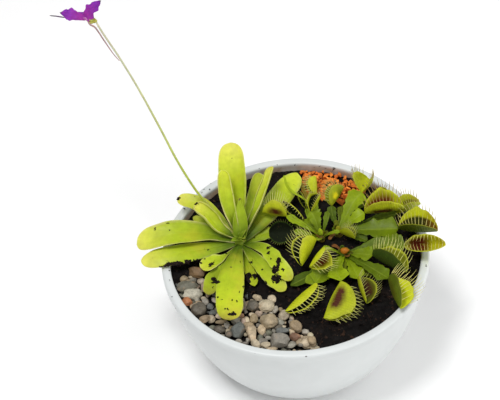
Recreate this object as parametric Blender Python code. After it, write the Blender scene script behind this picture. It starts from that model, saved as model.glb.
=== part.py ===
# A bowl planted with a butterwort in flower and a clump of flytraps, and pebbles and clay granules on the
# soil.
# The origin is the centre of the bowl's flat underside, +Z is up, and the front of the bowl is -Y.
# Sizes are in millimetres, and MM turns them into metres. Heights of the plants are above the soil.

import math
import random

import bmesh
import bpy
from mathutils import Matrix, Vector

MM = 0.001
GAP = 0.3
TURN = 2 * math.pi

# Bowl
RIM_RADIUS = 110.0
BASE_RADIUS = 65.0
BOWL_HEIGHT = 106.0
BULGE = 1.32
WALL = 6.4
FLOOR = 6.0
LIP_WIDTH = 7.4
LIP_DEPTH = 7.5
LIP_OVERHANG = 1.3
LIP_ROUND = 1.6
TURNED_SIDES = 40
INSIDE_HEIGHTS = (6, 16, 34, 56, 78, 96)

# Soil, pebbles and granules
SOIL_LEVEL = 98.0
SOIL_RELIEF = 1.4
BED_DEPTH = 7.0
BED_PLATE = 3.5
BED_MARGIN = 3.0
SOCKET_DEPTH = 8.0

# Plants
LEAF_THICKNESS = 1.2
TRAP_THICKNESS = 0.8
TOOTH_WIDTH = 0.9
CROWN_CLEARANCE = 0.75

# Corners of the pebble bed that are away from the bowl's wall, and the arc along the wall, in degrees
PEBBLE_EDGE = [(14, -92), (6, -74), (-6, -56), (-20, -42), (-46, -32), (-68, -21), (-76, -4), (-93, -5)]
PEBBLE_ARC = (186, 276)
GRANULE_EDGE = [(64, 68), (47, 58), (30, 64), (16, 72), (10, 88)]
GRANULE_ARC = (83, 48)
BED_REACH = 100.6
STONE_STRETCH = 1.2

# name: (x, y, radius, height above the soil)
CROWNS = {
    "butterwort_crown": (-44, 20, 5.4, 11.5),
    "flytrap_crown_rear": (38, 25, 4.4, 6),
    "flytrap_crown_front": (40, -1, 4.4, 6.5),
    "flytrap_crown_left": (23, 20, 3.8, 7),
}

# Butterwort leaves: height where the leaf leaves the crown, the route of its midrib as (x, y, height above
# the soil), full width, the way that its upper face looks, and how far its edges curl up, as a share of
# the width
BUTTERWORT_LEAVES = {
    "rear_tall": (7.4, [(-46, 47, 28), (-46, 62, 47), (-45, 79, 62)], 22, (0, -0.8, 0.6), 0.18),
    "rear_left": (9.9, [(-52, 35, 32), (-55, 45, 43), (-56, 53, 52)], 12, (0.3, -0.8, 0.5), 0.2),
    "rear_right": (5.7, [(-31, 50, 17), (-26, 61, 26), (-24, 69, 34)], 13, (0, -0.8, 0.6), 0.2),
    "rear_on_edge": (8.8, [(-28, 37, 23), (-19, 51, 35), (-12, 66, 43)], 11, (-0.8, -0.1, 0.6), 0.25),
    "right_rear_broad": (3.5, [(-20, 43, 14), (-4, 62, 16), (9, 80, 13)], 18, (-0.2, -0.3, 0.9), -0.15),
    "left_rear": (4, [(-62, 38, 15), (-76, 49, 23), (-93, 57, 24)], 14, (0.1, -0.3, 0.9), 0.15),
    "left_rear_short": (2, [(-65, 30, 9), (-81, 43, 15)], 8, (0.2, -0.3, 0.9), 0.15),
    "left_upper": (8.8, [(-61, 26, 18), (-70, 32, 29), (-79, 37, 35)], 12.5, (0.5, -0.5, 0.7), 0.3),
    "left_long_rear": (6.6, [(-72, 23, 15), (-101, 20, 20), (-129, 20, 12)], 22, (0, -0.2, 1), 0.12),
    "left_long_front": (4.6, [(-77, 9, 11), (-105, 3, 14), (-126, 3, 10)], 18, (0, -0.2, 1), -0.06),
    "small_oval": (3.0, [(-60, 4, 4.3), (-69, -1, 5.6), (-75, -12, 9)], 14, (0, -0.2, 1), 0.08),
    "front_left": (0.7, [(-57, -4, 1.6), (-68, -20, 4), (-73, -35, 5)], 13, (0, -0.2, 1), 0.08),
    "front_big": (5.5, [(-52, -15, 12), (-56, -44, 12), (-57, -68, 10)], 22, (0, -0.2, 1), -0.06),
    "front_small": (1.4, [(-39, -8, 2), (-35, -28, 3)], 8, (0, -0.2, 1), 0.1),
    "front_right": (4, [(-30, -8, 7), (-21, -24, 6), (-11, -36, 3)], 14, (0, -0.2, 1), 0.08),
    "right_front": (6, [(-25, 3, 12), (-16, -13, 12), (-6, -30, 8)], 13, (-0.1, 0, 1), 0.1),
    "right": (0.9, [(-25, 28, 2.4), (-14, 29, 3)], 11, (0, -0.2, 1), 0.1),
}
STALKED_LEAVES = {"small_oval"}

# The rosette's youngest leaves: tip, full width, the way that the upper face looks
YOUNG_LEAVES = [
    ((-41, 39, 37), 12, (0, -0.9, 0.4)),
    ((-40, 12, 17), 6, (0, 0.4, 0.9)),
    ((-51, 11, 16), 6, (0.4, 0.4, 0.8)),
]

# Flytrap leaves: crown, height where the leaf leaves it, the route of the winged stalk to the neck, full
# width of the stalk, the trap's tip, the way that its mouth opens, the angle that each lobe opens to, and
# the lobes' depth
FLYTRAP_LEAVES = {
    "left_pale": ("left", 5, [(9, 24, 14), (-4, 31, 19)], 6, (-24, 37, 20), (0.3, 0.6, 0.75), 24, 15),
    "left_striped": ("left", 3, [(15, 30, 7), (11, 35, 10)], 5, (-4, 51, 21), (-0.2, -0.3, 0.9), 24, 12),
    "left_dark": ("left", 2, [(11, 20, 8), (1, 21, 10)], 5, (-20, 23, 9), (-0.1, -0.65, 0.75), 45, 13),
    "left_small": ("left", 1.5, [(16, 14, 6), (13, 12, 8)], 3, (2, 11, 8), (-0.2, -0.7, 0.4), 28, 7),
    "left_front": ("left", 2, [(21, 9, 12), (18, 2, 19)], 4, (4, -21, 14), (-0.75, -0.3, 0.1), 24, 20),
    "front_red": ("front", 3.9, [(30, -6, 14), (23, -9, 21)], 4, (10, -24, 15), (0.75, -0.4, 0.1), 24, 16),
    "front_left": ("front", 1.5, [(25, -17, 5), (14, -34, 7)], 15, (-13, -60, 5), (0.6, -0.5, 0.3), 25, 15),
    "front_big": ("front", 3.2, [(32, -23, 8), (34, -40, 14)], 15, (17, -74, 9), (0.9, -0.2, 0.2), 26, 22),
    "front_purple": ("front", 1.2, [(46, -18, 3), (51, -31, 4)], 12, (56, -58, 4), (0.3, -0.3, 0.85), 28, 13),
    "right_front": ("front", 2.9, [(58, -24, 10), (72, -42, 14)], 12, (78, -76, 15), (0.5, 0, 0.85), 33, 18),
    "right_mid": ("front", 4.6, [(54, -9, 9), (62, -14, 12)], 13, (87, -40, 17), (0.4, 0.3, 0.85), 30, 17),
    "far_right": ("front", 2, [(66, -1, 9), (89, -9, 14)], 17, (122, -15, 19), (-0.2, -0.65, 0.7), 34, 17),
    "right_striped": ("rear", 3.5, [(65, 17, 9), (86, 13, 12)], 20, (118, 3, 16), (0, 0, 1), 30, 21),
    "rear_right_small": ("rear", 1.5, [(68, 31, 5), (87, 34, 8)], 8, (108, 39, 12), (-0.3, 0.1, 0.9), 28, 14),
    "rear_right_big": ("rear", 4.5, [(52, 28, 12), (60, 30, 16)], 11, (93, 28, 20), (0, 0, 1), 30, 21),
    "rear_red": ("rear", 2, [(56, 47, 5), (69, 53, 8)], 5, (84, 55, 9), (0, -0.3, 0.9), 28, 11),
    "rear_upright": ("rear", 4, [(51, 42, 15), (60, 51, 19)], 15, (68, 63, 22), (0, 0.1, 1), 30, 18),
    "centre_small": ("left", 4, [(33, 16, 11), (38, 15, 12)], 3, (50, 7, 11), (0.4, 0.4, 0.8), 28, 9),
    "rear_curled": ("left", 5, [(19, 30, 14), (16, 34, 19)], 12, (25, 47, 24), (-0.1, -0.6, 0.8), 34, 11),
    "rear_left_small": ("left", 1.4, [(15, 39, 7), (13, 45, 11)], 4, (9, 60, 16), (-0.2, -0.5, 0.8), 30, 7),
    "back_upright": ("left", 3, [(21, 50, 5), (21, 63, 8)], 4, (21, 79, 12), (0, 0, 1), 26, 18),
    "rear_yellow": ("rear", 3, [(34, 38, 10), (34, 43, 14)], 7, (46, 58, 20), (-0.6, -0.2, 0.7), 30, 13),
}

# The flower stalk's route, and its thickness at its foot and its top
STALK_ROUTE = [(-57, 34, 17), (-68, 42, 29), (-78, 50, 42), (-90, 60, 66), (-101, 72, 92)]
STALK_ROUTE += [(-114, 85, 122), (-127, 97, 148), (-139, 108, 168), (-143.5, 112.5, 177)]
STALK_RADIUS = (1.2, 0.8)
FLOWER_FOOT = (-146.3, 113, 177.5)
FLOWER_MOUTH = (-154, 114.5, 180)
SPUR_ROUTE = [(-148, 109.6, 176), (-144.2, 108.4, 173.6), (-138.6, 105.5, 162), (-132.4, 99.8, 152.2)]
SPUR_ROUTE += [(-127.6, 94.2, 148.6)]

# Petals: tip, the way that the petal's face looks, full width
PETALS = [
    ((-171, 118, 183.5), (0.15, -0.75, 0.65), 10),
    ((-180, 125, 176), (0, 0.64, 0.77), 8),
    ((-161, 130, 173), (0, 0.3, 0.95), 10),
    ((-139.5, 116, 190.5), (-0.35, -0.65, 0.65), 10),
    ((-144, 131, 176), (-0.5, 0.2, 0.85), 12),
]


def clear_scene():
    for old in list(bpy.data.objects):
        bpy.data.objects.remove(old)


def above_soil(point):
    """A point that is given with its height above the soil, in the part's own frame."""
    return Vector((point[0], point[1], SOIL_LEVEL + point[2]))


def make_material(name, colour, roughness):
    made = bpy.data.materials.new(name)
    made.use_nodes = True
    shader = made.node_tree.nodes["Principled BSDF"]
    shader.inputs["Base Color"].default_value = (*colour, 1)
    shader.inputs["Roughness"].default_value = roughness
    shader.inputs["Metallic"].default_value = 0.0
    made.diffuse_color = (*colour, 1)
    return made


def add_object(name, mesh, material):
    made = bpy.data.objects.new(name, mesh)
    mesh.materials.clear()
    mesh.materials.append(material)
    bpy.context.scene.collection.objects.link(made)
    return made


def add_body(name, points, faces, material, sharp=40):
    """An object from points in millimetres and faces that close round it."""
    mesh = bpy.data.meshes.new(name)
    mesh.from_pydata([point * MM for point in points], [], faces)
    mesh.update()
    mesh.shade_smooth()
    mesh.set_sharp_from_angle(angle=math.radians(sharp))
    return add_object(name, mesh, material)


def baked_mesh(made):
    """The object's mesh with its modifiers applied."""
    bpy.context.view_layer.update()
    graph = bpy.context.evaluated_depsgraph_get()
    return bpy.data.meshes.new_from_object(made.evaluated_get(graph))


def apply_modifiers(made):
    mesh = baked_mesh(made)
    made.modifiers.clear()
    made.data = mesh


def join_all(made, others):
    """Fuses the other objects into the first one, and removes them."""
    group = bpy.data.collections.new(made.name + "_pieces")
    bpy.context.scene.collection.children.link(group)
    for other in others:
        bpy.context.scene.collection.objects.unlink(other)
        group.objects.link(other)
    union = made.modifiers.new("Union", "BOOLEAN")
    union.operation = "UNION"
    union.operand_type = "COLLECTION"
    union.collection = group
    union.solver = "MANIFOLD"
    apply_modifiers(made)
    for other in others:
        bpy.data.objects.remove(other)
    bpy.data.collections.remove(group)
    return made


def cut_all(made, cutters):
    """Cuts each of the other objects out of the first one, and removes them."""
    for cutter in cutters:
        cutter.hide_render = True
        cutter.display_type = "WIRE"
        cut = made.modifiers.new("Cut", "BOOLEAN")
        cut.operation = "DIFFERENCE"
        cut.object = cutter
    apply_modifiers(made)
    for cutter in cutters:
        bpy.data.objects.remove(cutter)
    return made


def turned_mesh(name, profile, sides=TURNED_SIDES):
    """A closed mesh from a half profile of (radius, height) that starts and ends on the axis."""
    shape = bmesh.new()
    line = [shape.verts.new((radius * MM, 0, height * MM)) for radius, height in profile]
    edges = [shape.edges.new(pair) for pair in zip(line, line[1:])]
    bmesh.ops.spin(
        shape,
        geom=line + edges,
        cent=(0, 0, 0),
        axis=(0, 0, 1),
        angle=TURN,
        steps=sides,
        use_merge=True,
    )
    bmesh.ops.remove_doubles(shape, verts=shape.verts, dist=0.0001 * MM)
    bmesh.ops.recalc_face_normals(shape, faces=shape.faces)
    mesh = bpy.data.meshes.new(name)
    shape.to_mesh(mesh)
    shape.free()
    return mesh


def outer_radius(height):
    """The bowl's outside, a curve that is fuller than a cone and slimmer than a round one."""
    down = (BOWL_HEIGHT - height) / BOWL_HEIGHT
    return BASE_RADIUS + (RIM_RADIUS - BASE_RADIUS) * (1 - down ** (2 / BULGE)) ** (BULGE / 2)


def inner_radius(height):
    return min(outer_radius(height) - WALL, RIM_RADIUS - LIP_WIDTH)


def bowl_profile():
    lip_foot = BOWL_HEIGHT - LIP_DEPTH
    outside = [(outer_radius(z) - LIP_OVERHANG, z) for z in (2, 7, 17, 34, 56, 78, lip_foot - 1)]
    inside = [(inner_radius(z), z) for z in reversed(INSIDE_HEIGHTS)]
    lip = [
        (outer_radius(lip_foot), lip_foot),
        (RIM_RADIUS, BOWL_HEIGHT - LIP_ROUND),
        (RIM_RADIUS - LIP_ROUND, BOWL_HEIGHT),
        (RIM_RADIUS - LIP_WIDTH + LIP_ROUND, BOWL_HEIGHT),
        (RIM_RADIUS - LIP_WIDTH, BOWL_HEIGHT - LIP_ROUND),
    ]
    return [(0, 0), (BASE_RADIUS, 0)] + outside + lip + inside + [(0, FLOOR)]


def build_bowl(material):
    mesh = turned_mesh("bowl", bowl_profile())
    mesh.shade_smooth()
    mesh.set_sharp_from_angle(angle=math.radians(40))
    return add_object("bowl", mesh, material)


def bed_outline(edge, arc):
    """The outline of a bed: its free edge, then the arc along the bowl's wall."""
    steps = 9
    start, end = math.radians(arc[0]), math.radians(arc[1])
    turned = [start + (end - start) * step / steps for step in range(steps + 1)]
    outline = [Vector(corner) for corner in edge]
    outline += [Vector((math.cos(angle), math.sin(angle))) * BED_REACH for angle in turned]
    around = sum(one.x * two.y - one.y * two.x for one, two in zip(outline, outline[1:] + outline[:1]))
    return outline if around > 0 else outline[::-1]


def grown(outline, distance):
    """The outline with every side moved outward by the same distance."""
    found = []
    for before, here, after in zip(outline[-1:] + outline[:-1], outline, outline[1:] + outline[:1]):
        one = (here - before).normalized()
        two = (after - here).normalized()
        out = Vector((one.y + two.y, -one.x - two.x)).normalized()
        found.append(here + out * distance / max(out.dot(Vector((one.y, -one.x))), 0.4))
    return found


def plate(name, outline, low, high, material):
    """A flat plate of the outline between two heights above the soil."""
    shape = bmesh.new()
    floor = [shape.verts.new((x * MM, y * MM, (SOIL_LEVEL + low) * MM)) for x, y in outline]
    base = shape.faces.new(floor)
    raised = bmesh.ops.extrude_face_region(shape, geom=[base])["geom"]
    corners = [item for item in raised if isinstance(item, bmesh.types.BMVert)]
    bmesh.ops.translate(shape, verts=corners, vec=(0, 0, (high - low) * MM))
    bmesh.ops.triangulate(shape, faces=shape.faces)
    bmesh.ops.recalc_face_normals(shape, faces=shape.faces)
    mesh = bpy.data.meshes.new(name)
    shape.to_mesh(mesh)
    shape.free()
    return add_object(name, mesh, material)


def relief(x, y):
    """How far the soil dips at a place, from 0 to 1."""
    waves = math.sin(x * 0.21 + 1.3) * math.cos(y * 0.17) + math.sin((x + y) * 0.11 + 0.6)
    return min(1.0, max(0.0, 0.5 + 0.3 * waves))


def soil_profile():
    wall = [(inner_radius(z) - GAP, z) for z in INSIDE_HEIGHTS[1:]]
    top = [(radius, SOIL_LEVEL) for radius in (90, 62, 32)]
    return [(0, FLOOR + GAP), (inner_radius(FLOOR) - GAP, FLOOR + GAP)] + wall + top + [(0, SOIL_LEVEL)]


def build_soil(material):
    mesh = turned_mesh("soil", soil_profile())
    for corner in mesh.vertices:
        if corner.co.z > (SOIL_LEVEL - 1) * MM:
            corner.co.z -= SOIL_RELIEF * relief(corner.co.x / MM, corner.co.y / MM) * MM
    soil = add_object("soil", mesh, material)
    beds = []
    for edge, arc in ((PEBBLE_EDGE, PEBBLE_ARC), (GRANULE_EDGE, GRANULE_ARC)):
        pocket = grown(bed_outline(edge, arc), GAP)
        beds.append(plate("pocket", pocket, -BED_DEPTH, 5, material))
    sockets = []
    for name, (x, y, radius, height) in CROWNS.items():
        hole = turned_mesh(name + "_socket", peg_profile(radius + GAP, -SOCKET_DEPTH, 3), 14)
        hole.transform(Matrix.Translation((x * MM, y * MM, 0)))
        sockets.append(add_object(name + "_socket", hole, material))
    return cut_all(soil, beds + sockets)


def peg_profile(radius, low, high):
    low, high = SOIL_LEVEL + low, SOIL_LEVEL + high
    return [(0, low), (radius, low), (radius, high), (0, high)]


def is_inside(outline, x, y):
    """Whether a place lies inside the outline, by counting the sides that a ray crosses."""
    found = False
    for one, two in zip(outline, outline[1:] + outline[:1]):
        if (one.y > y) != (two.y > y) and x < one.x + (two.x - one.x) * (y - one.y) / (two.y - one.y):
            found = not found
    return found


def stone(name, place, size, rings, draw, material):
    """A worn stone that lies on the bed's plate, sunk into it a little."""
    tall = draw.uniform(0.62, 0.85)
    shape = bmesh.new()
    bmesh.ops.create_uvsphere(shape, u_segments=rings + 2, v_segments=rings, radius=size * MM)
    for corner in shape.verts:
        corner.co *= draw.uniform(0.93, 1.04)
    stretch = Matrix.Diagonal((draw.uniform(1.0, STONE_STRETCH), draw.uniform(0.8, 1.0), tall, 1))
    turn = Matrix.Rotation(draw.uniform(0, TURN), 4, "Z") @ Matrix.Rotation(draw.uniform(-0.3, 0.3), 4, "X")
    height = SOIL_LEVEL - BED_DEPTH + BED_PLATE + size * tall * draw.uniform(0.55, 0.8)
    shape.transform(Matrix.Translation(Vector((*place, height)) * MM) @ turn @ stretch)
    mesh = bpy.data.meshes.new(name)
    shape.to_mesh(mesh)
    shape.free()
    return add_object(name, mesh, material)


def edge_distance(outline, x, y):
    """How far a place is from the nearest side of the outline."""
    place = Vector((x, y))
    found = []
    for one, two in zip(outline, outline[1:] + outline[:1]):
        side = two - one
        share = min(1.0, max(0.0, (place - one).dot(side) / side.length_squared))
        found.append((one + side * share - place).length)
    return min(found)


def spread_places(outline, spacing, draw):
    """Places along loops that follow the outline, from just inside it to the bed's middle."""
    places = []
    inward = spacing * 0.5
    loop = grown(outline, -inward)
    while loop:
        left_over = 0.0
        found = []
        for one, two in zip(loop, loop[1:] + loop[:1]):
            length = (two - one).length
            along = spacing - left_over
            while along < length:
                place = one.lerp(two, along / length)
                if is_inside(outline, *place) and edge_distance(outline, *place) > inward * 0.93:
                    found.append(place)
                along += spacing * draw.uniform(0.92, 1.06)
            left_over = length - (along - spacing)
        places += found
        inward += spacing * 0.86
        loop = grown(outline, -inward) if found else []
    return places


def build_bed(name, outline, spacing, sizes, rings, seed, material):
    """A bed of stones on one plate, which lies in its pocket in the soil."""
    draw = random.Random(seed)
    bed = plate(name, grown(outline, -BED_MARGIN), GAP - BED_DEPTH, BED_PLATE - BED_DEPTH, material)
    stones = []
    for place in spread_places(outline, spacing, draw):
        room = edge_distance(outline, *place) / STONE_STRETCH / 1.04
        size = min(draw.uniform(*sizes), room)
        stones.append(stone(f"{name}_{len(stones)}", place, size, rings, draw, material))
    return join_all(bed, stones)


def smooth_route(points, shares):
    """Points at the given shares of the length of a smooth curve through the route's own points."""
    ends = [points[0] * 2 - points[1]] + list(points) + [points[-1] * 2 - points[-2]]
    fine = []
    spans = len(points) - 1
    per_span = 12
    for span in range(spans):
        before, start, end, after = ends[span : span + 4]
        for step in range(per_span):
            t = step / per_span
            fine.append(
                0.5
                * (
                    2 * start
                    + (end - before) * t
                    + (2 * before - 5 * start + 4 * end - after) * t**2
                    + (3 * start - before - 3 * end + after) * t**3
                )
            )
    fine.append(points[-1].copy())
    lengths = [0.0]
    for one, two in zip(fine, fine[1:]):
        lengths.append(lengths[-1] + (two - one).length)
    found = []
    for share in shares:
        target = share * lengths[-1]
        index = max(i for i, length in enumerate(lengths) if length <= target + 1e-9)
        index = min(index, len(fine) - 2)
        part = (target - lengths[index]) / (lengths[index + 1] - lengths[index])
        found.append(fine[index].lerp(fine[index + 1], part))
    return found


def tangents(points):
    found = []
    for index in range(len(points)):
        before = points[max(index - 1, 0)]
        after = points[min(index + 1, len(points) - 1)]
        found.append((after - before).normalized())
    return found


def zip_rows(points, left, right):
    """Triangles between two rows of point numbers that run the same way."""
    found = []
    i = j = 0
    while i < len(left) - 1 or j < len(right) - 1:
        left_is_next = j == len(right) - 1
        if not left_is_next and i < len(left) - 1:
            across_left = (points[left[i + 1]] - points[right[j]]).length
            across_right = (points[left[i]] - points[right[j + 1]]).length
            left_is_next = across_left <= across_right
        if left_is_next:
            found.append((left[i], left[i + 1], right[j]))
            i += 1
        else:
            found.append((left[i], right[j + 1], right[j]))
            j += 1
    return found


def sheet_normals(points, triangles):
    found = [Vector((0, 0, 0)) for point in points]
    for a, b, c in triangles:
        area = (points[b] - points[a]).cross(points[c] - points[a])
        for corner in (a, b, c):
            found[corner] += area
    return [normal.normalized() for normal in found]


def thicken(points, triangles, thickness, spikes=None):
    """A closed body round a sheet: two faces, split alike, and a rim, with a spike on each edge in spikes."""
    spikes = spikes or {}
    count = len(points)
    normals = sheet_normals(points, triangles)
    body = [point + normal * thickness / 2 for point, normal in zip(points, normals)]
    body += [point - normal * thickness / 2 for point, normal in zip(points, normals)]
    faces = list(triangles) + [(c + count, b + count, a + count) for a, b, c in triangles]
    directed = [pair for a, b, c in triangles for pair in ((a, b), (b, c), (c, a))]
    known = set(directed)
    for a, b in directed:
        if (b, a) in known:
            continue
        tip = spikes.get((a, b)) or spikes.get((b, a))
        if tip:
            body.append(tip)
            top = len(body) - 1
            faces += [(b, a, top), (a, a + count, top), (a + count, b + count, top), (b + count, b, top)]
        else:
            faces += [(b, a, a + count), (b, a + count, b + count)]
    return body, faces


def crown_start(crown, towards, height):
    """Where a leaf leaves its crown: just clear of the crown's side, on the way to its next point."""
    x, y, radius, top = CROWNS[crown]
    way = Vector((towards[0] - x, towards[1] - y)).normalized() * (radius + CROWN_CLEARANCE)
    return above_soil((x + way.x, y + way.y, height))


BLADE_SHARES = (0, 0.14, 0.34, 0.56, 0.76, 0.9, 0.97, 1.0)
BLADE_WIDTHS = (0.22, 0.46, 0.78, 1.0, 0.96, 0.78, 0.52, 0.22)
STALKED_WIDTHS = (0.12, 0.12, 0.2, 0.7, 1.0, 0.84, 0.54, 0.2)
BLADE_ACROSS = (-1, -0.5, 0, 0.5, 1)


def blade_rows(route, width, face, curl, widths=BLADE_WIDTHS):
    """Rows of points that run along a blade, from its left edge to its right one."""
    spine = smooth_route(route, BLADE_SHARES)
    rows = [[] for across in BLADE_ACROSS]
    for point, way, share in zip(spine, tangents(spine), widths):
        side = way.cross(face).normalized()
        upper = side.cross(way).normalized()
        half = width * share / 2
        for row, across in zip(rows, BLADE_ACROSS):
            row.append(point + side * across * half + upper * curl * width * share * across**2)
    return rows


def blade_body(rows, thickness):
    points = [point for row in rows for point in row]
    numbers = iter(range(len(points)))
    numbered = [[next(numbers) for point in row] for row in rows]
    triangles = []
    for left, right in zip(numbered, numbered[1:]):
        triangles += zip_rows(points, left, right)
    return thicken(points, triangles, thickness)


def build_butterwort_leaf(name, details, material):
    start_height, route, width, face, curl = details
    start = crown_start("butterwort_crown", route[0], start_height)
    points = [start] + [above_soil(point) for point in route]
    widths = STALKED_WIDTHS if name in STALKED_LEAVES else BLADE_WIDTHS
    rows = blade_rows(points, width, Vector(face).normalized(), curl, widths)
    body, faces = blade_body(rows, LEAF_THICKNESS)
    return add_body("butterwort_leaf_" + name, body, faces, material)


def build_crown(name, material, young_leaves=()):
    """A short stem that stands in its hole in the soil, with its youngest leaves fused on."""
    x, y, radius, height = CROWNS[name]
    profile = [
        (0, SOIL_LEVEL - SOCKET_DEPTH + GAP),
        (radius, SOIL_LEVEL - SOCKET_DEPTH + GAP),
        (radius, SOIL_LEVEL + height - 1.6),
        (radius * 0.7, SOIL_LEVEL + height - 0.4),
        (0, SOIL_LEVEL + height),
    ]
    mesh = turned_mesh(name, profile, 14)
    mesh.transform(Matrix.Translation((x * MM, y * MM, 0)))
    crown = add_object(name, mesh, material)
    young = []
    for tip, width, face in young_leaves:
        foot = Vector((x, y, SOIL_LEVEL + height - 3))
        end = above_soil(tip)
        middle = foot.lerp(end, 0.5) + Vector((0, 0, 2))
        rows = blade_rows([foot, middle, end], width, Vector(face).normalized(), 0.2)
        body, faces = blade_body(rows, LEAF_THICKNESS)
        young.append(add_body(f"{name}_young_{len(young)}", body, faces, material))
    return join_all(crown, young) if young else crown


STALK_SHARES = (0, 0.3, 0.55, 0.8, 0.93, 1.0)
STALK_WIDTHS = (0.2, 0.42, 0.74, 1.0, 0.86, 0.12)
LOBE_MID_POINTS = 4
LOBE_CURVE = 26
LOBE_ROUNDNESS = 0.55
HINGE_SAG = 0.06


def trap_axes(neck, tip, mouth):
    """The trap's own directions: along its hinge, out of its mouth, and across to its right lobe."""
    along = (tip - neck).normalized()
    out = (mouth - along * mouth.dot(along)).normalized()
    return along, out, along.cross(out).normalized()


def lobe_point(neck, tip, axes, side, share, out_share, opening, depth):
    """A point of a lobe: share runs from neck to tip, and out_share from the hinge to the lobe's edge."""
    along, out, across = axes
    start = neck.lerp(tip, share) - out * HINGE_SAG * (tip - neck).length * math.sin(math.pi * share)
    reach = depth * max(math.sin(math.pi * share), 0.0) ** LOBE_ROUNDNESS
    point = start.copy()
    pieces = 4
    for piece in range(pieces):
        angle = math.radians(opening + LOBE_CURVE * (1 - 2 * out_share * (piece + 0.5) / pieces))
        step = reach * out_share / pieces
        point += (out * math.cos(angle) + across * side * math.sin(angle)) * step
    return point


def tooth_tip(start, axes, side, share, opening, depth):
    """The end of a tooth, which leans in over the mouth and fans out along the hinge."""
    along, out, across = axes
    angle = math.radians(opening - LOBE_CURVE - 12)
    length = depth * (0.32 + 0.26 * math.sin(math.pi * share))
    way = out * math.cos(angle) + across * side * math.sin(angle) + along * (share - 0.5) * 0.7
    return start + way.normalized() * length


def build_flytrap_leaf(name, details, material):
    """A winged stalk that ends in a two-lobed trap, as one sheet from its foot to its teeth."""
    crown, start_height, route, width, tip, mouth, opening, depth = details
    crown = "flytrap_crown_" + crown
    start = crown_start(crown, route[0], start_height)
    stalk = smooth_route([start] + [above_soil(point) for point in route], STALK_SHARES)
    tip = above_soil(tip)
    neck = stalk[-1]
    axes = trap_axes(neck, tip, Vector(mouth))
    teeth = 5 if depth < 9 else 6 if depth < 13 else 8
    points, spikes = [], {}

    def add(point):
        points.append(point)
        return len(points) - 1

    edges = {-1: [], 1: []}
    middle = []
    face = Vector((0, -0.2, 1))
    for index, (point, way) in enumerate(zip(stalk, tangents(stalk))):
        side = way.cross(face).normalized()
        upper = side.cross(way).normalized()
        half = max(width * STALK_WIDTHS[index] / 2, 0.8)
        wave = (-1) ** index * 0.04 * width
        middle.append(add(point))
        for hand in (-1, 1):
            edges[hand].append(add(point + side * hand * half + upper * (half * 0.25 + wave * hand)))
    neck_number = middle[-1]
    tip_number = add(tip)
    mid_shares = [(index + 0.5) / LOBE_MID_POINTS for index in range(LOBE_MID_POINTS)]
    hinge = [neck_number]
    hinge += [add(lobe_point(neck, tip, axes, 1, share, 0, opening, depth)) for share in mid_shares]
    hinge.append(tip_number)
    lobes = {}
    half_tooth = TOOTH_WIDTH / 2 / (tip - neck).length
    for hand in (-1, 1):
        mids = [add(lobe_point(neck, tip, axes, hand, share, 0.5, opening, depth)) for share in mid_shares]
        margin = [edges[hand][-1]]
        for tooth in range(teeth):
            share = (tooth + 0.5) / teeth * 0.92 + 0.03
            first = lobe_point(neck, tip, axes, hand, share - half_tooth, 1, opening, depth)
            second = lobe_point(neck, tip, axes, hand, share + half_tooth, 1, opening, depth)
            pair = (add(first), add(second))
            spikes[pair] = tooth_tip((first + second) / 2, axes, hand, share, opening, depth)
            margin += pair
        margin.append(tip_number)
        lobes[hand] = (margin, mids)
    triangles = zip_rows(points, edges[-1], middle) + zip_rows(points, middle, edges[1])
    margin, mids = lobes[-1]
    triangles += zip_rows(points, margin, mids) + zip_rows(points, mids, hinge)
    triangles.append((margin[0], mids[0], neck_number))
    margin, mids = lobes[1]
    triangles += zip_rows(points, hinge, mids) + zip_rows(points, mids, margin)
    triangles.append((neck_number, mids[0], margin[0]))
    body, faces = thicken(points, triangles, TRAP_THICKNESS, spikes)
    return add_body("flytrap_leaf_" + name, body, faces, material)


def tube_body(points, radii, sides):
    """A closed tube along the points, round them at the given radii."""
    body, faces = [], []
    guide = Vector((0, 0, 1))
    for point, way, radius in zip(points, tangents(points), radii):
        across = way.cross(guide).normalized()
        other = across.cross(way)
        for side in range(sides):
            angle = TURN * side / sides
            body.append(point + (across * math.cos(angle) + other * math.sin(angle)) * radius)
    for ring in range(len(points) - 1):
        for side in range(sides):
            a = ring * sides + side
            b = ring * sides + (side + 1) % sides
            faces.append((a, a + sides, b + sides, b))
    faces.append(tuple(range(sides)))
    last = (len(points) - 1) * sides
    faces.append(tuple(reversed(range(last, last + sides))))
    return body, faces


def even_shares(count):
    return [index / (count - 1) for index in range(count)]


def build_flower_stalk(material):
    start = crown_start("butterwort_crown", STALK_ROUTE[0], 7.4)
    route = smooth_route([start] + [above_soil(point) for point in STALK_ROUTE], even_shares(18))
    radii = [STALK_RADIUS[0] + (STALK_RADIUS[1] - STALK_RADIUS[0]) * share for share in even_shares(18)]
    body, faces = tube_body(route, radii, 6)
    stalk = add_body("flower_stalk", body, faces, material)
    top = route[-1]
    mouth = above_soil(FLOWER_FOOT)
    ends = [top - (mouth - top) * 0.3, mouth - (mouth - top).normalized() * 0.4]
    cup, cup_faces = tube_body(ends, [0.9, 2.7], 7)
    return join_all(stalk, [add_body("calyx", cup, cup_faces, material)])


def petal_body(foot, tip, face, width):
    """A petal with a wavy outline that widens towards its end."""
    shares = (0, 0.3, 0.6, 0.85, 1.0)
    widths = (0.25, 0.6, 1.0, 0.9, 0.45)
    spine = smooth_route([foot, foot.lerp(tip, 0.5) + face * 1.2, tip], shares)
    rows = [[] for across in BLADE_ACROSS]
    for index, (point, way) in enumerate(zip(spine, tangents(spine))):
        side = way.cross(face).normalized()
        half = width * widths[index] / 2
        for place, (row, across) in enumerate(zip(rows, BLADE_ACROSS)):
            notch = 1.6 * math.cos(place * math.pi) * shares[index] ** 3
            frill = 0.8 * math.sin(place * 2.1 + index * 1.7)
            row.append(point + side * across * half + way * notch + face * frill * shares[index])
    return blade_body(rows, TRAP_THICKNESS)


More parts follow.
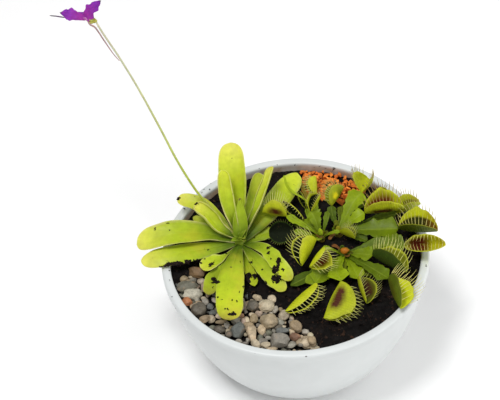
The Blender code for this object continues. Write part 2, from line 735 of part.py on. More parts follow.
def build_flower(material):
    """The tube with its spur, and the petals round its mouth, which grew as one piece."""
    foot, mouth = above_soil(FLOWER_FOOT), above_soil(FLOWER_MOUTH)
    body, faces = tube_body([foot, foot.lerp(mouth, 0.5), mouth], [1.5, 1.7, 2.6], 8)
    flower = add_body("flower", body, faces, material)
    spur_route = [foot.lerp(mouth, 0.5)] + [above_soil(point) for point in SPUR_ROUTE]
    spur, spur_faces = tube_body(smooth_route(spur_route, even_shares(8)), [0.8 - 0.04 * index for index in range(8)], 6)
    pieces = [add_body("spur", spur, spur_faces, material)]
    for tip, face, width in PETALS:
        inside = mouth.lerp(foot, 0.2)
        petal, petal_faces = petal_body(inside, above_soil(tip), Vector(face).normalized(), width)
        pieces.append(add_body(f"petal_{len(pieces)}", petal, petal_faces, material))
    return join_all(flower, pieces)


def build_all():
    clear_scene()
    build_bowl(make_material("bowl_white", (0.72, 0.74, 0.73), 0.4))
    build_soil(make_material("peat", (0.03, 0.02, 0.018), 0.9))
    pebble_bed = bed_outline(PEBBLE_EDGE, PEBBLE_ARC)
    pebble_grey = make_material("pebble", (0.42, 0.38, 0.33), 0.6)
    build_bed("pebbles", pebble_bed, 11.6, (5.0, 6.8), 4, 4, pebble_grey)
    granule_bed = bed_outline(GRANULE_EDGE, GRANULE_ARC)
    clay_orange = make_material("clay", (0.72, 0.2, 0.05), 0.8)
    build_bed("clay_granules", granule_bed, 7.8, (3.4, 4.6), 3, 9, clay_orange)
    leaf_green = make_material("butterwort_green", (0.5, 0.6, 0.03), 0.4)
    build_crown("butterwort_crown", leaf_green, YOUNG_LEAVES)
    for name, details in BUTTERWORT_LEAVES.items():
        build_butterwort_leaf(name, details, leaf_green)
    build_flower_stalk(make_material("stalk_green", (0.45, 0.5, 0.15), 0.5))
    build_flower(make_material("petal_violet", (0.3, 0.02, 0.4), 0.5))
    trap_green = make_material("flytrap_green", (0.3, 0.5, 0.02), 0.4)
    for name in ("flytrap_crown_rear", "flytrap_crown_front", "flytrap_crown_left"):
        build_crown(name, trap_green)
    for name, details in FLYTRAP_LEAVES.items():
        build_flytrap_leaf(name, details, trap_green)


build_all()
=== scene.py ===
import math
import random

import bmesh
import bpy
from mathutils import Matrix, Vector, noise
from mathutils.bvhtree import BVHTree


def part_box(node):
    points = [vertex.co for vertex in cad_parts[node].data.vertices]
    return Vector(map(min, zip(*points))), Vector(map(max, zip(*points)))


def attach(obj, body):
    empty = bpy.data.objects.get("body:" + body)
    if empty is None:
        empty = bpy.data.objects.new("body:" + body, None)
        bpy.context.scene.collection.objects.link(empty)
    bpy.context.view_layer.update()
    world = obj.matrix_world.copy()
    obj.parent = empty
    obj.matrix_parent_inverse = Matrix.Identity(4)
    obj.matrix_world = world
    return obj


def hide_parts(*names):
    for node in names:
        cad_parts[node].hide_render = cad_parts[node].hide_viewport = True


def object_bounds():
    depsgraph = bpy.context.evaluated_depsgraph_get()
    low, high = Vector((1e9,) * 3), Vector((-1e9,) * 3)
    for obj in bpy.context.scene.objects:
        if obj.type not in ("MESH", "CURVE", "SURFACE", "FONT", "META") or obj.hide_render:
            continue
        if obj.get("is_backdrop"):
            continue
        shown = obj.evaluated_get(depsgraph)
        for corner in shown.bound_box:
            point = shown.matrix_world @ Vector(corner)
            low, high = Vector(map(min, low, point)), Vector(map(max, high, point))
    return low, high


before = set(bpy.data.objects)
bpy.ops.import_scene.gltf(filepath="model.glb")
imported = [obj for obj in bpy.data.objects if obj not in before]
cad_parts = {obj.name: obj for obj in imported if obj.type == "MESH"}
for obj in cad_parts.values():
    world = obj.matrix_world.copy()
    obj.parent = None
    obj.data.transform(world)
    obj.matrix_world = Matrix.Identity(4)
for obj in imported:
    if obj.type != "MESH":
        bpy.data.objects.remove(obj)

MM = 0.001
TURN = 2 * math.pi
UP = Vector((0, 0, 1))
CAD_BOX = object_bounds()

# Bowl
RIM_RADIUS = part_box("bowl")[1].x / MM
BOWL_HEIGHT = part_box("bowl")[1].z / MM
BASE_RADIUS = 65.0
BULGE = 1.32
WALL = 6.4
FLOOR = 6.0
LIP_WIDTH = 7.4
LIP_DEPTH = 7.5
LIP_OVERHANG = 1.3
LIP_ROUND = 2.4
FOOT_RECESS = 1.2
BOWL_SIDES = 144
GAP = 0.3

# Soil, pebbles and granules
SOIL_LEVEL = BOWL_HEIGHT - 8
SOIL_RELIEF = 1.4
SOIL_ROUGHNESS = ((9.0, 2.0), (4.1, 1.5), (2.2, 0.9))
SOIL_GRID = 116
SOIL_REACH = 100
SOIL_CRUMBS = 2600
SOIL_FIBRES = 130
PEAT_RINGS = (88, 74, 56, 36, 18, FLOOR + GAP)
BED_DIP = 4.2
BED_REACH = 100.6
PEBBLE_EDGE = [(14, -92), (6, -74), (-6, -56), (-20, -42), (-46, -32), (-68, -21), (-76, -4), (-93, -5)]
PEBBLE_ARC = (186, 276)
GRANULE_EDGE = [(64, 68), (47, 58), (30, 64), (16, 72), (10, 88)]
GRANULE_ARC = (83, 48)
HEAP_FLOOR = -3.6
HEAP_STEP = 0.4
HEAP_TOP = 9
DIRT_HEIGHT = 3.2

# Fillers of each bed: the limits of x and y between which they are tried, then how often one is tried, how
# wide it is and, for granules, how high it may lie. Their length, breadth and height lie between these
# shares of that width.
PEBBLE_FIELD = ((-100, 30), (-100, 0))
GRANULE_FIELD = ((0, 75), (50, 101))
PEBBLE_FILLERS = ((260, 11.0), (500, 8.0), (900, 5.2), (900, 3.6))
GRANULE_FILLERS = ((900, 7.8, 0.6), (1700, 6.0, 2.2), (1500, 3.8, 3.0))
PEBBLE_SHARES = ((1.0, 1.25), (0.8, 1.0), (0.6, 0.8))
GRANULE_SHARES = ((1.0, 1.7), (0.8, 1.15), (0.7, 1.0))
GRANULE_WEAR = 0.14

# The photograph's frame, and the camera that took it
PHOTO_WIDTH = 500
PHOTO_HEIGHT = 400
CAMERA_PLACE = Vector((-33.1, -1076.4, 1290.7))
CAMERA_DOWN = 46.1
CAMERA_ROLL = 4.84
CAMERA_LENS = 140.8
CAMERA_SENSOR = 36.0
CAMERA_SIGHT = (50, 20000)
PIXELS_PER_MM = 1.22

# The room, in metres and watts: each lamp's name, place, size and power
FLOOR_HALF = 4.0
ROOM_LIGHT = 0.43
LAMPS_LOOK_AT = Vector((0, 0, 0.1))
LAMPS = (
    ("Window", (-0.45, -0.35, 1.9), 0.6, 22.5),
    ("Front fill", (1.3, -1.3, 0.9), 1.3, 11),
    ("Side fill", (1.5, 0.5, 0.8), 1.2, 9),
)

# Stones that the photograph shows: centre, size across and down in its pixels, turn in degrees, and kind
STONES_SEEN = [
    (198, 272, 21, 12, -25, "brown"), (184, 279, 8, 7, 0, "tan"), (193, 280, 8, 6, 0, "grey"),
    (187, 287, 22, 11, 6, "olive"), (193, 294, 19, 11, -5, "white"), (204, 287, 8, 12, 0, "pink"),
    (197, 287, 6, 6, 0, "pink"), (187, 302, 11, 8, -35, "orange"), (199, 310, 16, 16, 0, "umber"),
    (206, 302, 8, 8, 0, "pale"), (210, 307, 9, 8, 0, "slate"), (214, 300, 5, 8, 15, "white"),
    (213, 313, 9, 6, 0, "slate"), (205, 319, 11, 7, 12, "tan"), (211, 319, 9, 10, 0, "cream"),
    (219, 316, 7, 6, 0, "cream"), (221, 322, 11, 5, 5, "tan"), (213, 328, 8, 5, -10, "olive"),
    (220, 330, 11, 8, -30, "umber"), (227, 325, 8, 11, 10, "pale"), (237, 331, 18, 17, 0, "slate"),
    (239, 341, 8, 5, -10, "pale"), (240, 316, 9, 6, 0, "peach"), (243, 321, 5, 7, 0, "pink"),
    (247, 321, 6, 11, 5, "cream"), (252, 315, 6, 5, 0, "cream"), (254, 319, 8, 9, 0, "tan"),
    (252, 334, 11, 22, -4, "beige"), (262, 330, 10, 13, 15, "beige"), (269, 321, 17, 17, 0, "clay"),
    (266, 306, 16, 12, 8, "cream"), (272, 299, 10, 8, -35, "cream"), (253, 306, 13, 12, 0, "umber"),
    (257, 298, 12, 7, -35, "beige"), (248, 296, 9, 7, 0, "slate"), (245, 307, 5, 11, 0, "cream"),
    (259, 314, 8, 7, 0, "pink"), (284, 315, 13, 9, 45, "cream"), (296, 326, 11, 14, 25, "tan"),
    (283, 331, 18, 7, 0, "slate"), (305, 332, 8, 9, 10, "pale"), (295, 337, 10, 9, 0, "russet"),
    (279, 341, 21, 15, -12, "grey"), (291, 345, 14, 8, 15, "pale"), (307, 344, 12, 10, -20, "cream"),
    (312, 341, 8, 11, 20, "tan"), (268, 338, 6, 5, 0, "pale"), (263, 342, 12, 8, 30, "grey"),
    (266, 345, 9, 6, 0, "cream"), (274, 331, 6, 6, 0, "pale"), (269, 333, 7, 6, 0, "olive"),
    (301, 337, 6, 6, 0, "beige"), (301, 345, 7, 5, 0, "grey"), (229, 334, 7, 6, 0, "umber"),
    (245, 343, 7, 4, 0, "grey"), (178, 285, 6, 6, 0, "slate"), (181, 296, 7, 5, -30, "olive"),
]
STONE_COLOURS = {
    "brown": (0.17, 0.105, 0.045), "tan": (0.3, 0.225, 0.135), "grey": (0.21, 0.19, 0.155),
    "olive": (0.14, 0.137, 0.1), "white": (0.44, 0.4, 0.32), "pink": (0.34, 0.255, 0.19),
    "orange": (0.38, 0.15, 0.06), "umber": (0.12, 0.105, 0.08), "pale": (0.32, 0.295, 0.24),
    "slate": (0.125, 0.133, 0.122), "cream": (0.46, 0.385, 0.27), "peach": (0.46, 0.27, 0.15),
    "beige": (0.43, 0.34, 0.225), "clay": (0.35, 0.27, 0.175), "russet": (0.22, 0.12, 0.075),
}
COMMON_STONES = ["grey", "pale", "cream", "beige", "tan", "umber", "olive", "slate", "clay", "cream", "pale"]
ANGULAR_STONES = {"slate", "grey", "brown", "pale", "beige"}

# Crowns: x, y, radius, height above the soil
CROWNS = {
    "butterwort_crown": (-44, 20, 5.4, 11.5),
    "flytrap_crown_rear": (38, 25, 4.4, 6),
    "flytrap_crown_front": (40, -1, 4.4, 6.5),
    "flytrap_crown_left": (23, 20, 3.8, 7),
}
CROWN_DEPTH = 4
CROWN_SKIN = 1.5
NEXT_LEAF_TURN = 2.4

# Butterwort leaves: height where the leaf leaves the crown, the route of its midrib as (x, y, height above
# the soil), full width, the way that its upper face looks, how far its edges curl up as a share of the
# width, and the roll of its left and right margin in degrees. Then come its looks, each from 0 to 1: how
# pale its tip and its margin are, how much deeper its green is, partly its own colour and partly painted
# shade, how ragged its margin and how brown its tip are.
BUTTERWORT_LEAVES = {
    "rear_tall": (7.4, [(-46, 47, 28), (-46, 62, 47), (-45, 79, 62)], 22, (0, -0.8, 0.6), 0.18, (20, 12),
        (1.0, 0.5, 0.0, 0.1, 0.0)),
    "rear_left": (9.9, [(-51.5, 35, 32), (-53.5, 46, 44), (-54, 55, 55)], 12, (0.3, -0.8, 0.5), 0.2,
        (30, 110), (0.3, 1.0, 0.1, 0.1, 0.0)),
    "rear_right": (5.7, [(-31, 50, 17), (-26, 61, 26), (-24, 69, 34)], 13, (0, -0.8, 0.6), 0.2, (10, 25),
        (0.2, 0.5, 0.5, 0.1, 0.0)),
    "rear_on_edge": (8.8, [(-28, 37, 23), (-19, 51, 35), (-12, 66, 43)], 11, (-0.8, -0.1, 0.6), 0.25,
        (120, 20), (0.8, 1.0, 0.0, 0.2, 0.15)),
    "right_rear_broad": (3.5, [(-20, 43, 14), (-5, 63, 18), (8, 82, 17)], 21, (-0.2, -0.3, 0.9), -0.15,
        (-25, -25), (0.2, 0.5, 0.2, 0.0, 0.0)),
    "left_rear": (4, [(-62, 38, 15), (-76, 49, 23), (-93, 57, 24)], 14, (0.1, -0.3, 0.9), 0.15, (15, -20),
        (1.0, 0.3, 0.0, 0.1, 0.0)),
    "left_rear_short": (2, [(-65, 30, 9), (-81, 43, 15)], 8, (0.2, -0.3, 0.9), 0.15, (10, 10),
        (0.2, 0.2, 0.5, 0.1, 0.3)),
    "left_upper": (8.8, [(-61, 26, 18), (-70, 32, 29), (-79, 37, 35)], 12.5, (0.5, -0.5, 0.7), 0.3,
        (70, 125), (0.9, 1.0, 0.0, 0.3, 0.0)),
    "left_long_rear": (6.6, [(-72, 23, 15), (-101, 20, 20), (-129, 20, 12)], 22, (0, -0.2, 1), 0.12,
        (30, 40), (0.9, 0.7, 0.3, 0.1, 0.0)),
    "left_long_front": (4.6, [(-77, 9, 11), (-105, 3, 14), (-126, 3, 10)], 18, (0, -0.2, 1), -0.06,
        (-20, 10), (1.0, 0.4, 0.35, 0.1, 0.0)),
    "small_oval": (3.0, [(-60, 4, 4.3), (-69, -1, 5.6), (-75, -12, 9)], 14, (0, -0.2, 1), 0.08, (20, 20),
        (0.4, 0.6, 0.2, 0.2, 0.0)),
    "front_left": (0.7, [(-57, -4, 1.6), (-68, -20, 4), (-73, -35, 5)], 13, (0, -0.2, 1), 0.08, (15, 15),
        (0.0, 0.2, 0.6, 0.7, 0.6)),
    "front_big": (5.5, [(-52, -15, 12), (-56, -44, 12), (-57, -68, 10)], 22, (0, -0.2, 1), -0.06,
        (-20, -20), (0.0, 0.3, 0.15, 0.15, 0.75)),
    "front_small": (1.4, [(-39, -8, 2), (-35, -28, 3)], 8, (0, -0.2, 1), 0.1, (10, 10),
        (0.0, 0.1, 0.5, 0.8, 0.0)),
    "front_right": (4, [(-30, -8, 7), (-21, -24, 6), (-11, -36, 3)], 14, (0, -0.2, 1), 0.08, (10, 45),
        (0.2, 0.5, 0.3, 0.9, 0.3)),
    "right_front": (6, [(-25, 3, 12), (-16, -13, 12), (-6, -30, 8)], 13, (-0.1, 0, 1), 0.1, (10, -15),
        (0.1, 0.4, 0.25, 0.6, 0.4)),
    "right": (0.9, [(-25, 28, 2.4), (-14, 29, 3)], 11, (0, -0.2, 1), 0.1, (10, 10),
        (0.0, 0.2, 0.7, 0.1, 0.0)),
}
STALKED_LEAVES = {"small_oval"}

# The rosette's youngest leaves: tip, full width, the way that the upper face looks
YOUNG_LEAVES = [
    ((-41, 39, 37), 12, (0, -0.9, 0.4)),
    ((-40, 12, 17), 6, (0, 0.4, 0.9)),
    ((-51, 11, 16), 6, (0.4, 0.4, 0.8)),
]

# Widths of leaves and winged stalks, as (share of the length, share of the full width)
BLADE_WIDTHS = [(0, 0.22), (0.14, 0.46), (0.34, 0.78), (0.56, 1.0), (0.76, 0.98), (0.86, 0.93), (1.0, 0.7)]
LANCE_WIDTHS = [(0, 0.55), (0.2, 0.9), (0.4, 1.0), (0.6, 0.86), (0.76, 0.58), (0.88, 0.34), (1.0, 0.12)]
STALKED_WIDTHS = [(0, 0.12), (0.14, 0.12), (0.34, 0.2), (0.56, 0.7), (0.76, 1.0), (0.86, 0.94), (1.0, 0.6)]
STALK_WIDTHS = [(0, 0.2), (0.3, 0.42), (0.55, 0.74), (0.8, 1.0), (0.93, 0.86), (1.0, 0.12)]
WING_FACE = Vector((0, -0.2, 1))
TIP_START = 0.84

# Rows along a blade below its tip and at its tip, and columns on each side of its midrib; then the rows
# and columns of winged stalks, lobes and petals
BLADE_ROWS = (17, 7)
BLADE_COLUMNS = 8
WING_GRID = (30, 9)
LOBE_GRID = (17, 13)
PETAL_GRID = (17, 15)

# Flytrap leaves: crown, height where the leaf leaves it, the route of the winged stalk to the neck, full
# width of the stalk, the trap's tip, the way that its mouth opens, the angle that each lobe opens to, and
# the lobes' depth. Then come its looks, each from 0 to 1: red inside, painted shade inside, the painted
# light on the lobes inside and outside and on the stalk, where low values paint shade, and how dark the
# reddish tinge on the lobes' outside is, which is partly real colour and partly painted shade.
FLYTRAP_LEAVES = {
    "left_pale": ("left", 5, [(9, 24, 14), (-4, 31, 19)], 6, (-24, 37, 20), (0.3, 0.6, 0.75), 24, 15,
        (0.3, 0.4, 0.7, 0.75, 0.6, 1.0)),
    "left_striped": ("left", 3, [(15, 30, 7), (10, 33, 10)], 5, (-6, 48, 20), (-0.3, -0.5, 0.8), 15, 12,
        (0.0, 1.0, 0.85, 0.85, 0.45, 0.0)),
    "left_dark": ("left", 2, [(11, 20, 8), (1, 21, 10)], 5, (-20, 23, 9), (-0.1, -0.65, 0.75), 45, 13,
        (0.0, 1.0, 0.0, 0.0, 0.45, 1.0)),
    "left_small": ("left", 1.5, [(16, 14, 6), (13, 12, 8)], 3, (2, 11, 8), (-0.2, -0.7, 0.4), 28, 7,
        (0.0, 0.5, 0.55, 0.5, 0.5, 0.0)),
    "left_front": ("left", 2, [(21, 9, 12), (18, 2, 19)], 4, (4, -21, 14), (-0.7, -0.55, 0.35), 17, 19,
        (0.1, 1.0, 0.8, 0.8, 0.5, 0.0)),
    "front_red": ("front", 3.9, [(30, -6, 14), (23, -9, 21)], 4, (10, -24, 15), (0.65, -0.5, 0.45), 24, 16,
        (1.0, 0.3, 0.85, 0.9, 0.45, 0.0)),
    "front_left": ("front", 1.5, [(25, -17, 5), (14, -34, 7)], 15, (-13, -60, 5), (0.6, -0.5, 0.3), 13, 15,
        (0.1, 1.0, 0.85, 0.85, 0.4, 0.0)),
    "front_big": ("front", 3.2, [(32, -23, 8), (34, -40, 14)], 15, (17, -74, 9), (0.9, -0.3, -0.12), 7, 22,
        (0.7, 0.4, 0.65, 0.62, 0.7, 1.0)),
    "front_purple": ("front", 1.2, [(46, -18, 3), (49, -31, 4)], 12, (53, -58, 4), (0.5, -0.25, 0.7), 32,
        14, (1.0, 0.7, 0.55, 0.75, 0.6, 0.2)),
    "right_front": ("front", 2.9, [(58, -24, 10), (72, -42, 14)], 12, (78, -76, 15), (0.75, -0.15, 0.65),
        30, 18, (0.1, 0.2, 1.0, 0.12, 0.25, 0.3)),
    "right_mid": ("front", 4.6, [(54, -9, 9), (62, -14, 12)], 13, (87, -40, 17), (0.4, 0.3, 0.85), 26, 17,
        (0.1, 0.6, 0.75, 0.03, 0.4, 0.1)),
    "far_right": ("front", 2, [(66, -1, 9), (89, -9, 14)], 17, (122, -15, 19), (-0.2, -0.5, 0.8), 24, 17,
        (1.0, 0.3, 1.0, 0.9, 0.25, 0.0)),
    "right_striped": ("rear", 3.5, [(65, 17, 9), (86, 13, 12)], 20, (118, 3, 16), (0, 0, 1), 26, 21,
        (0.15, 0.95, 1.0, 0.12, 0.3, 0.0)),
    "rear_right_small": ("rear", 1.5, [(68, 31, 5), (87, 34, 8)], 8, (108, 39, 12), (-0.3, 0.1, 0.9), 28,
        14, (0.1, 0.6, 0.85, 0.6, 0.2, 0.0)),
    "rear_right_big": ("rear", 4.5, [(52, 28, 12), (60, 30, 16)], 11, (93, 28, 20), (0, 0.1, 1), 22, 21,
        (1.0, 0.2, 1.0, 0.85, 0.6, 1.0)),
    "rear_red": ("rear", 2, [(56, 47, 5), (69, 53, 8)], 5, (84, 55, 9), (0, -0.3, 0.9), 28, 11,
        (1.0, 0.2, 0.85, 0.6, 0.3, 0.0)),
    "rear_upright": ("rear", 4, [(51, 42, 15), (60, 51, 19)], 15, (68, 63, 22), (0, 0.1, 1), 30, 18,
        (0.1, 0.1, 0.9, 0.85, 0.6, 0.0)),
    "centre_small": ("left", 4, [(33, 16, 11), (38, 15, 12)], 3, (50, 7, 11), (0.4, 0.4, 0.8), 28, 9,
        (0.7, 0.5, 0.5, 0.5, 0.5, 0.2)),
    "rear_curled": ("left", 5, [(19, 30, 14), (16, 34, 19)], 12, (25, 47, 24), (-0.4, -0.5, 0.75), 20, 12,
        (0.2, 1.0, 0.8, 0.8, 0.4, 0.0)),
    "rear_left_small": ("left", 1.4, [(15, 39, 7), (13, 45, 11)], 4, (9, 60, 16), (-0.2, -0.5, 0.8), 18, 7,
        (0.0, 1.0, 0.45, 0.5, 0.4, 0.0)),
    "back_upright": ("left", 3, [(21, 50, 5), (23, 63, 8)], 4, (24, 80, 13), (-0.9, 0, 0.5), 9, 10,
        (0.1, 0.4, 0.85, 0.85, 0.5, 0.0)),
    "rear_yellow": ("rear", 3, [(34, 38, 10), (34, 43, 14)], 7, (46, 58, 20), (-0.8, 0.1, 0.5), 22, 13,
        (0.2, 0.3, 0.5, 0.5, 0.15, 0.1)),
}

# What sets single traps apart: the teeth's length as a share of the others', the degrees that they bend
# further in over the mouth and how russet they are, how orange the lobes turn and how much of their red and
# painted inner shade they lose towards the tip, the share of the lobe at the rim that the painted inner
# shade leaves out, and a yellow patch outside.
PLAIN_TRAP = dict(tooth_length=1.0, tooth_bend=0, russet=0.0, orange=0.0, green_tip=0.0, rim=0.0, gold=0.0)
ODD_TRAPS = {
    "front_left": dict(tooth_length=1.15),
    "front_big": dict(tooth_length=0.6),
    "right_front": dict(tooth_length=1.2, russet=0.2, rim=0.3),
    "right_mid": dict(tooth_length=1.15),
    "far_right": dict(tooth_length=0.8, tooth_bend=38, russet=0.3, orange=0.35, green_tip=1.0),
    "right_striped": dict(tooth_bend=10, russet=0.3, orange=0.4, rim=0.3),
    "rear_right_small": dict(russet=0.5, orange=0.2, rim=0.3),
    "rear_right_big": dict(russet=0.7),
    "rear_red": dict(russet=1.0),
    "rear_upright": dict(russet=0.5),
    "rear_curled": dict(tooth_length=0.7, rim=0.2),
    "rear_yellow": dict(gold=1.0),
}
LOBE_CURVE = 26
LOBE_ROUNDNESS = 0.55
LOBE_PIECES = 8
HINGE_SAG = 0.06
TRIGGER_HAIRS = ((0.35, 0.45), (0.5, 0.6), (0.65, 0.45))
TRIGGER_HAIR_LENGTH = 1.9

# Teeth on a lobe's edge, as (traps shallower than this, their number of teeth); then a tooth's length as
# a share of the trap's depth, at the neck and how much more at the middle, and the degrees that its root
# and its end lean in from the lobe
TEETH = ((9, 8), (13, 10), (30, 12))
TOOTH_LENGTH = (0.42, 0.26)
TOOTH_LEANS = (17, 46)

# Young and withered shoots beside the leaves: crown, route, width, painted light (low values paint shade),
# and how withered they are
SHOOTS = [
    ("left", [(18, 37, 11), (13, 49, 17), (5, 56, 19), (-1, 60, 24), (-3, 68, 29)], 1.7, 0.8, 0.1),
    ("left", [(18, 46, 7), (14, 62, 10), (10, 76, 13)], 3.0, 0.6, 0.7),
    ("left", [(27, 27, 9), (30, 37, 14)], 4.5, 0.2, 0.0),
    ("left", [(14, 27, 8), (2, 32, 7)], 5, 0.3, 0.0),
    ("rear", [(41, 36, 8), (43, 46, 9)], 7, 0.2, 0.1),
    ("rear", [(50, 16, 5), (60, 9, 5)], 7, 0.15, 0.0),
    ("rear", [(33, 19, 5), (29, 15, 4)], 2.6, 0.4, 0.9),
    ("front", [(35, 6, 4), (31, 9, 3)], 2.4, 0.4, 1.0),
    ("front", [(28, -14, 5), (17, -25, 5), (6, -30, 4)], 9, 0.4, 0.0),
    ("front", [(24, -14, 4), (8, -24, 4), (-6, -31, 3)], 9, 0.12, 0.0),
    ("front", [(50, -12, 4), (60, -28, 3)], 9, 0.2, 0.1),
    ("front", [(38, -16, 3), (34, -30, 2)], 8, 0.25, 0.1),
]

# Buds on the crowns: crown, where the bud's foot and tip are, its radius, its painted light (low values paint
# shade), and how orange it is
BUDS = [
    ("front", (37.5, -2, 7), (44.5, -4, 9.5), 3.0, 0.4, 1.0),
    ("left", (23, 20, 5), (22, 19, 14), 2.4, 0.75, 0.0),
    ("rear", (38, 25, 4), (37, 24, 9), 2.4, 0.5, 0.3),
]

# The flower stalk's route, and its thickness at its foot and its top
STALK_ROUTE = [(-57, 34, 17), (-68, 42, 29), (-78, 50, 42), (-90, 60, 66), (-101, 72, 92)]
STALK_ROUTE += [(-114, 85, 122), (-127, 97, 148), (-139, 108, 168), (-143.5, 112.5, 177)]
STALK_RADIUS = (1.05, 0.75)
STALK_SIDES = 12
STALK_HAIRS = 320
SEPALS = 5
CALYX_RADII = (0.8, 1.1, 1.5, 1.9, 2.1, 2.1, 1.9, 1.5)
THROAT_RADII = (1.5, 1.55, 1.6, 1.6, 1.55, 1.45, 1.3, 1.0, 0.5)
FLOWER_FOOT = (-146.3, 113, 177.5)
FLOWER_MOUTH = (-154, 114.5, 180)
SPUR_ROUTE = [(-148, 109.6, 176), (-144.2, 108.4, 173.6), (-138.6, 105.5, 162), (-132.4, 99.8, 152.2)]
SPUR_ROUTE += [(-127.6, 94.2, 148.6)]
SPUR_RADIUS = (0.85, 0.31)

# Petals: tip, the way that the petal's face looks, full width, how far its middle is bent aside, where along
# it is widest, and how wide its foot is as a share of the full width
PETALS = [
    ((-171, 118, 183.8), (0.15, -0.75, 0.65), 9, (0.2, -0.6, 1.4), 0.6, 0.35),
    ((-180, 125, 176), (0, 0.64, 0.77), 7, (0, 3.0, -3.2), 0.5, 0.4),
    ((-161, 130, 173), (0, 0.3, 0.95), 10, (0, 0.8, 0), 0.55, 0.4),
    ((-137.8, 116, 194.5), (-0.35, -0.65, 0.65), 9.5, (-1.2, -0.8, 0.4), 0.32, 0.75),
    ((-144, 131, 176), (-0.5, 0.2, 0.85), 12, (-0.6, 0.4, 0.6), 0.55, 0.4),
]
# The petal seen almost edge-on, whose sides and end get painted shade
DARK_PETAL = 1

# Clumps of soil on the leaves and the rim: centre and size in the photograph's pixels
SOIL_ON_LEAVES = [
    (179, 199, 4, 3), (196, 203.5, 4, 2), (200, 191, 3, 1.5), (155, 229, 2, 2), (168, 223, 2, 1),
    (163, 266.5, 5, 2), (208.5, 250, 2, 2), (211, 264, 4, 4), (205, 259, 1.5, 1), (214, 280.5, 8, 5),
    (213, 287, 2, 2), (218, 297, 2, 2), (226, 253.5, 2, 1), (250.5, 262.5, 4, 2), (248, 278, 7, 8),
    (256, 276, 5, 6), (264, 284, 6, 8), (268, 253, 3, 3), (269, 247.5, 6, 2), (276, 269, 6, 8),
    (279, 261, 5, 6), (275, 280, 8, 9), (232.5, 313.5, 7, 3), (225, 309, 1.5, 2), (227.5, 309, 1.5, 2),
    (236.5, 301, 2, 2), (230, 323, 3, 1.5), (240, 262, 1.5, 1.5), (222, 300, 1.2, 1.2), (262, 270, 2, 2),
    (271, 259, 2, 1.5), (283, 270, 3, 3), (243, 287, 1.5, 2), (171, 265, 9, 5), (180, 264.2, 9, 5),
    (189, 263, 9, 5), (197, 261.5, 7, 4), (232, 300, 1.5, 1.5), (239, 292, 1.5, 1.5), (170, 230, 1.5, 1),
]
SOIL_ON_RIM = [
    (184.5, 209, 2, 2), (209, 189.5, 2, 1.5), (204, 189.5, 1.5, 1), (333.7, 168.5, 3, 2), (295, 165, 1.5, 1),
    (426, 265.5, 2, 2), (169.5, 280.5, 1.5, 1.5), (169.5, 270.5, 1.5, 1.5), (277, 165, 1, 1),
    (320, 166, 1.5, 1), (352, 170, 1.5, 1), (418, 300, 1.5, 1), (172, 297, 1, 1), (188, 205, 1.5, 1),
]
LEAF_BIT_SIZES = (0.5, 1.8)
RIM_BIT_SIZES = (0.7, 1.3)
CRUMBS_PER_PIXEL = 2.6
PIXELS_PER_FIBRE = 9

# Where the random draws of each part start
SEEDS = {
    "soil": 11, "pebbles": 5, "granules": 21, "soil_on_leaves": 3, "soil_on_rim": 4,
    "rosette": 8, "flower_stalk": 31, "traps": 100, "crowns": 300,
}


class Form:
    """Points, faces and values that belong to the points, gathered before they become one mesh."""

    def __init__(self):
        self.points = []
        self.faces = []
        self.values = {}

    def add(self, shape, **values):
        """Adds a closed shape. A value is a list with one for each point, or one for all of them."""
        points, faces = shape
        first = len(self.points)
        self.points += points
        self.faces += [tuple(first + number for number in face) for face in faces]
        for name, value in values.items():
            column = self.values.setdefault(name, [])
            column += [(0, 0, 0, 1) if "colour" in name else 0.0] * (first - len(column))
            column += value if isinstance(value, list) else [value] * len(points)

    def add_leaf(self, rows, thickness, **looks):
        """Adds a leaf shell. A look is a number, or a rule for it by share, place and side."""
        shape, spots = leaf_shell(rows, thickness)
        values = {name: list(column) for name, column in zip(("along", "across", "upper"), zip(*spots))}
        for name, look in looks.items():
            values[name] = [look(*spot) for spot in spots] if callable(look) else look
        self.add(shape, **values)


def place_object(name, data):
    made = bpy.data.objects.new(name, data)
    bpy.context.scene.collection.objects.link(made)
    return made


def make_piece(name, form, finish, nodes=(), sharp=50, smoothing=0):
    """The object of a form, with its finish, which stands for the given nodes."""
    mesh = bpy.data.meshes.new(name)
    mesh.from_pydata([point * MM for point in form.points], [], form.faces)
    for value_name, column in form.values.items():
        if "colour" in value_name:
            layer = mesh.attributes.new(value_name, "FLOAT_COLOR", "POINT")
            layer.data.foreach_set("color", [part for colour in column for part in colour])
        else:
            layer = mesh.attributes.new(value_name, "FLOAT", "POINT")
            layer.data.foreach_set("value", column + [0.0] * (len(form.points) - len(column)))
    mesh.shade_smooth()
    mesh.set_sharp_from_angle(angle=math.radians(sharp))
    mesh.materials.append(finish)
    piece = place_object(name, mesh)
    if smoothing:
        smooth = piece.modifiers.new("Smooth growth", "SUBSURF")
        smooth.levels = smoothing
        smooth.render_levels = smoothing
    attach(piece, "root")
    if nodes:
        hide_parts(*nodes)
    return piece


# Places, curves and outlines


def above_soil(point):
    return Vector((point[0], point[1], SOIL_LEVEL + point[2]))


def around(angle, reach=1.0, height=0.0):
    """The way at an angle about the upright axis, or the place at a reach that way."""
    return Vector((reach * math.cos(angle), reach * math.sin(angle), height))


def rough(*place):
    """Smooth random waves between about -1 and 1."""
    return noise.noise(Vector(place))


def any_way(draw):
    """A random direction."""
    return Vector([draw.gauss(0, 1) for axis in range(3)]).normalized()


def any_place(draw, reach):
    """A random place on a disc."""
    out = reach * math.sqrt(draw.random())
    return around(draw.uniform(0, TURN), out)


def ease(value, low, high):
    """Rises smoothly from 0 at low to 1 at high."""
    share = min(1.0, max(0.0, (value - low) / (high - low)))
    return share * share * (3 - 2 * share)


def towards_tip(amount, low, high):
    """A look that grows to the amount between two shares of a leaf's length."""
    return lambda share, place, side: amount * ease(share, low, high)


def even_shares(count):
    return [index / (count - 1) for index in range(count)]


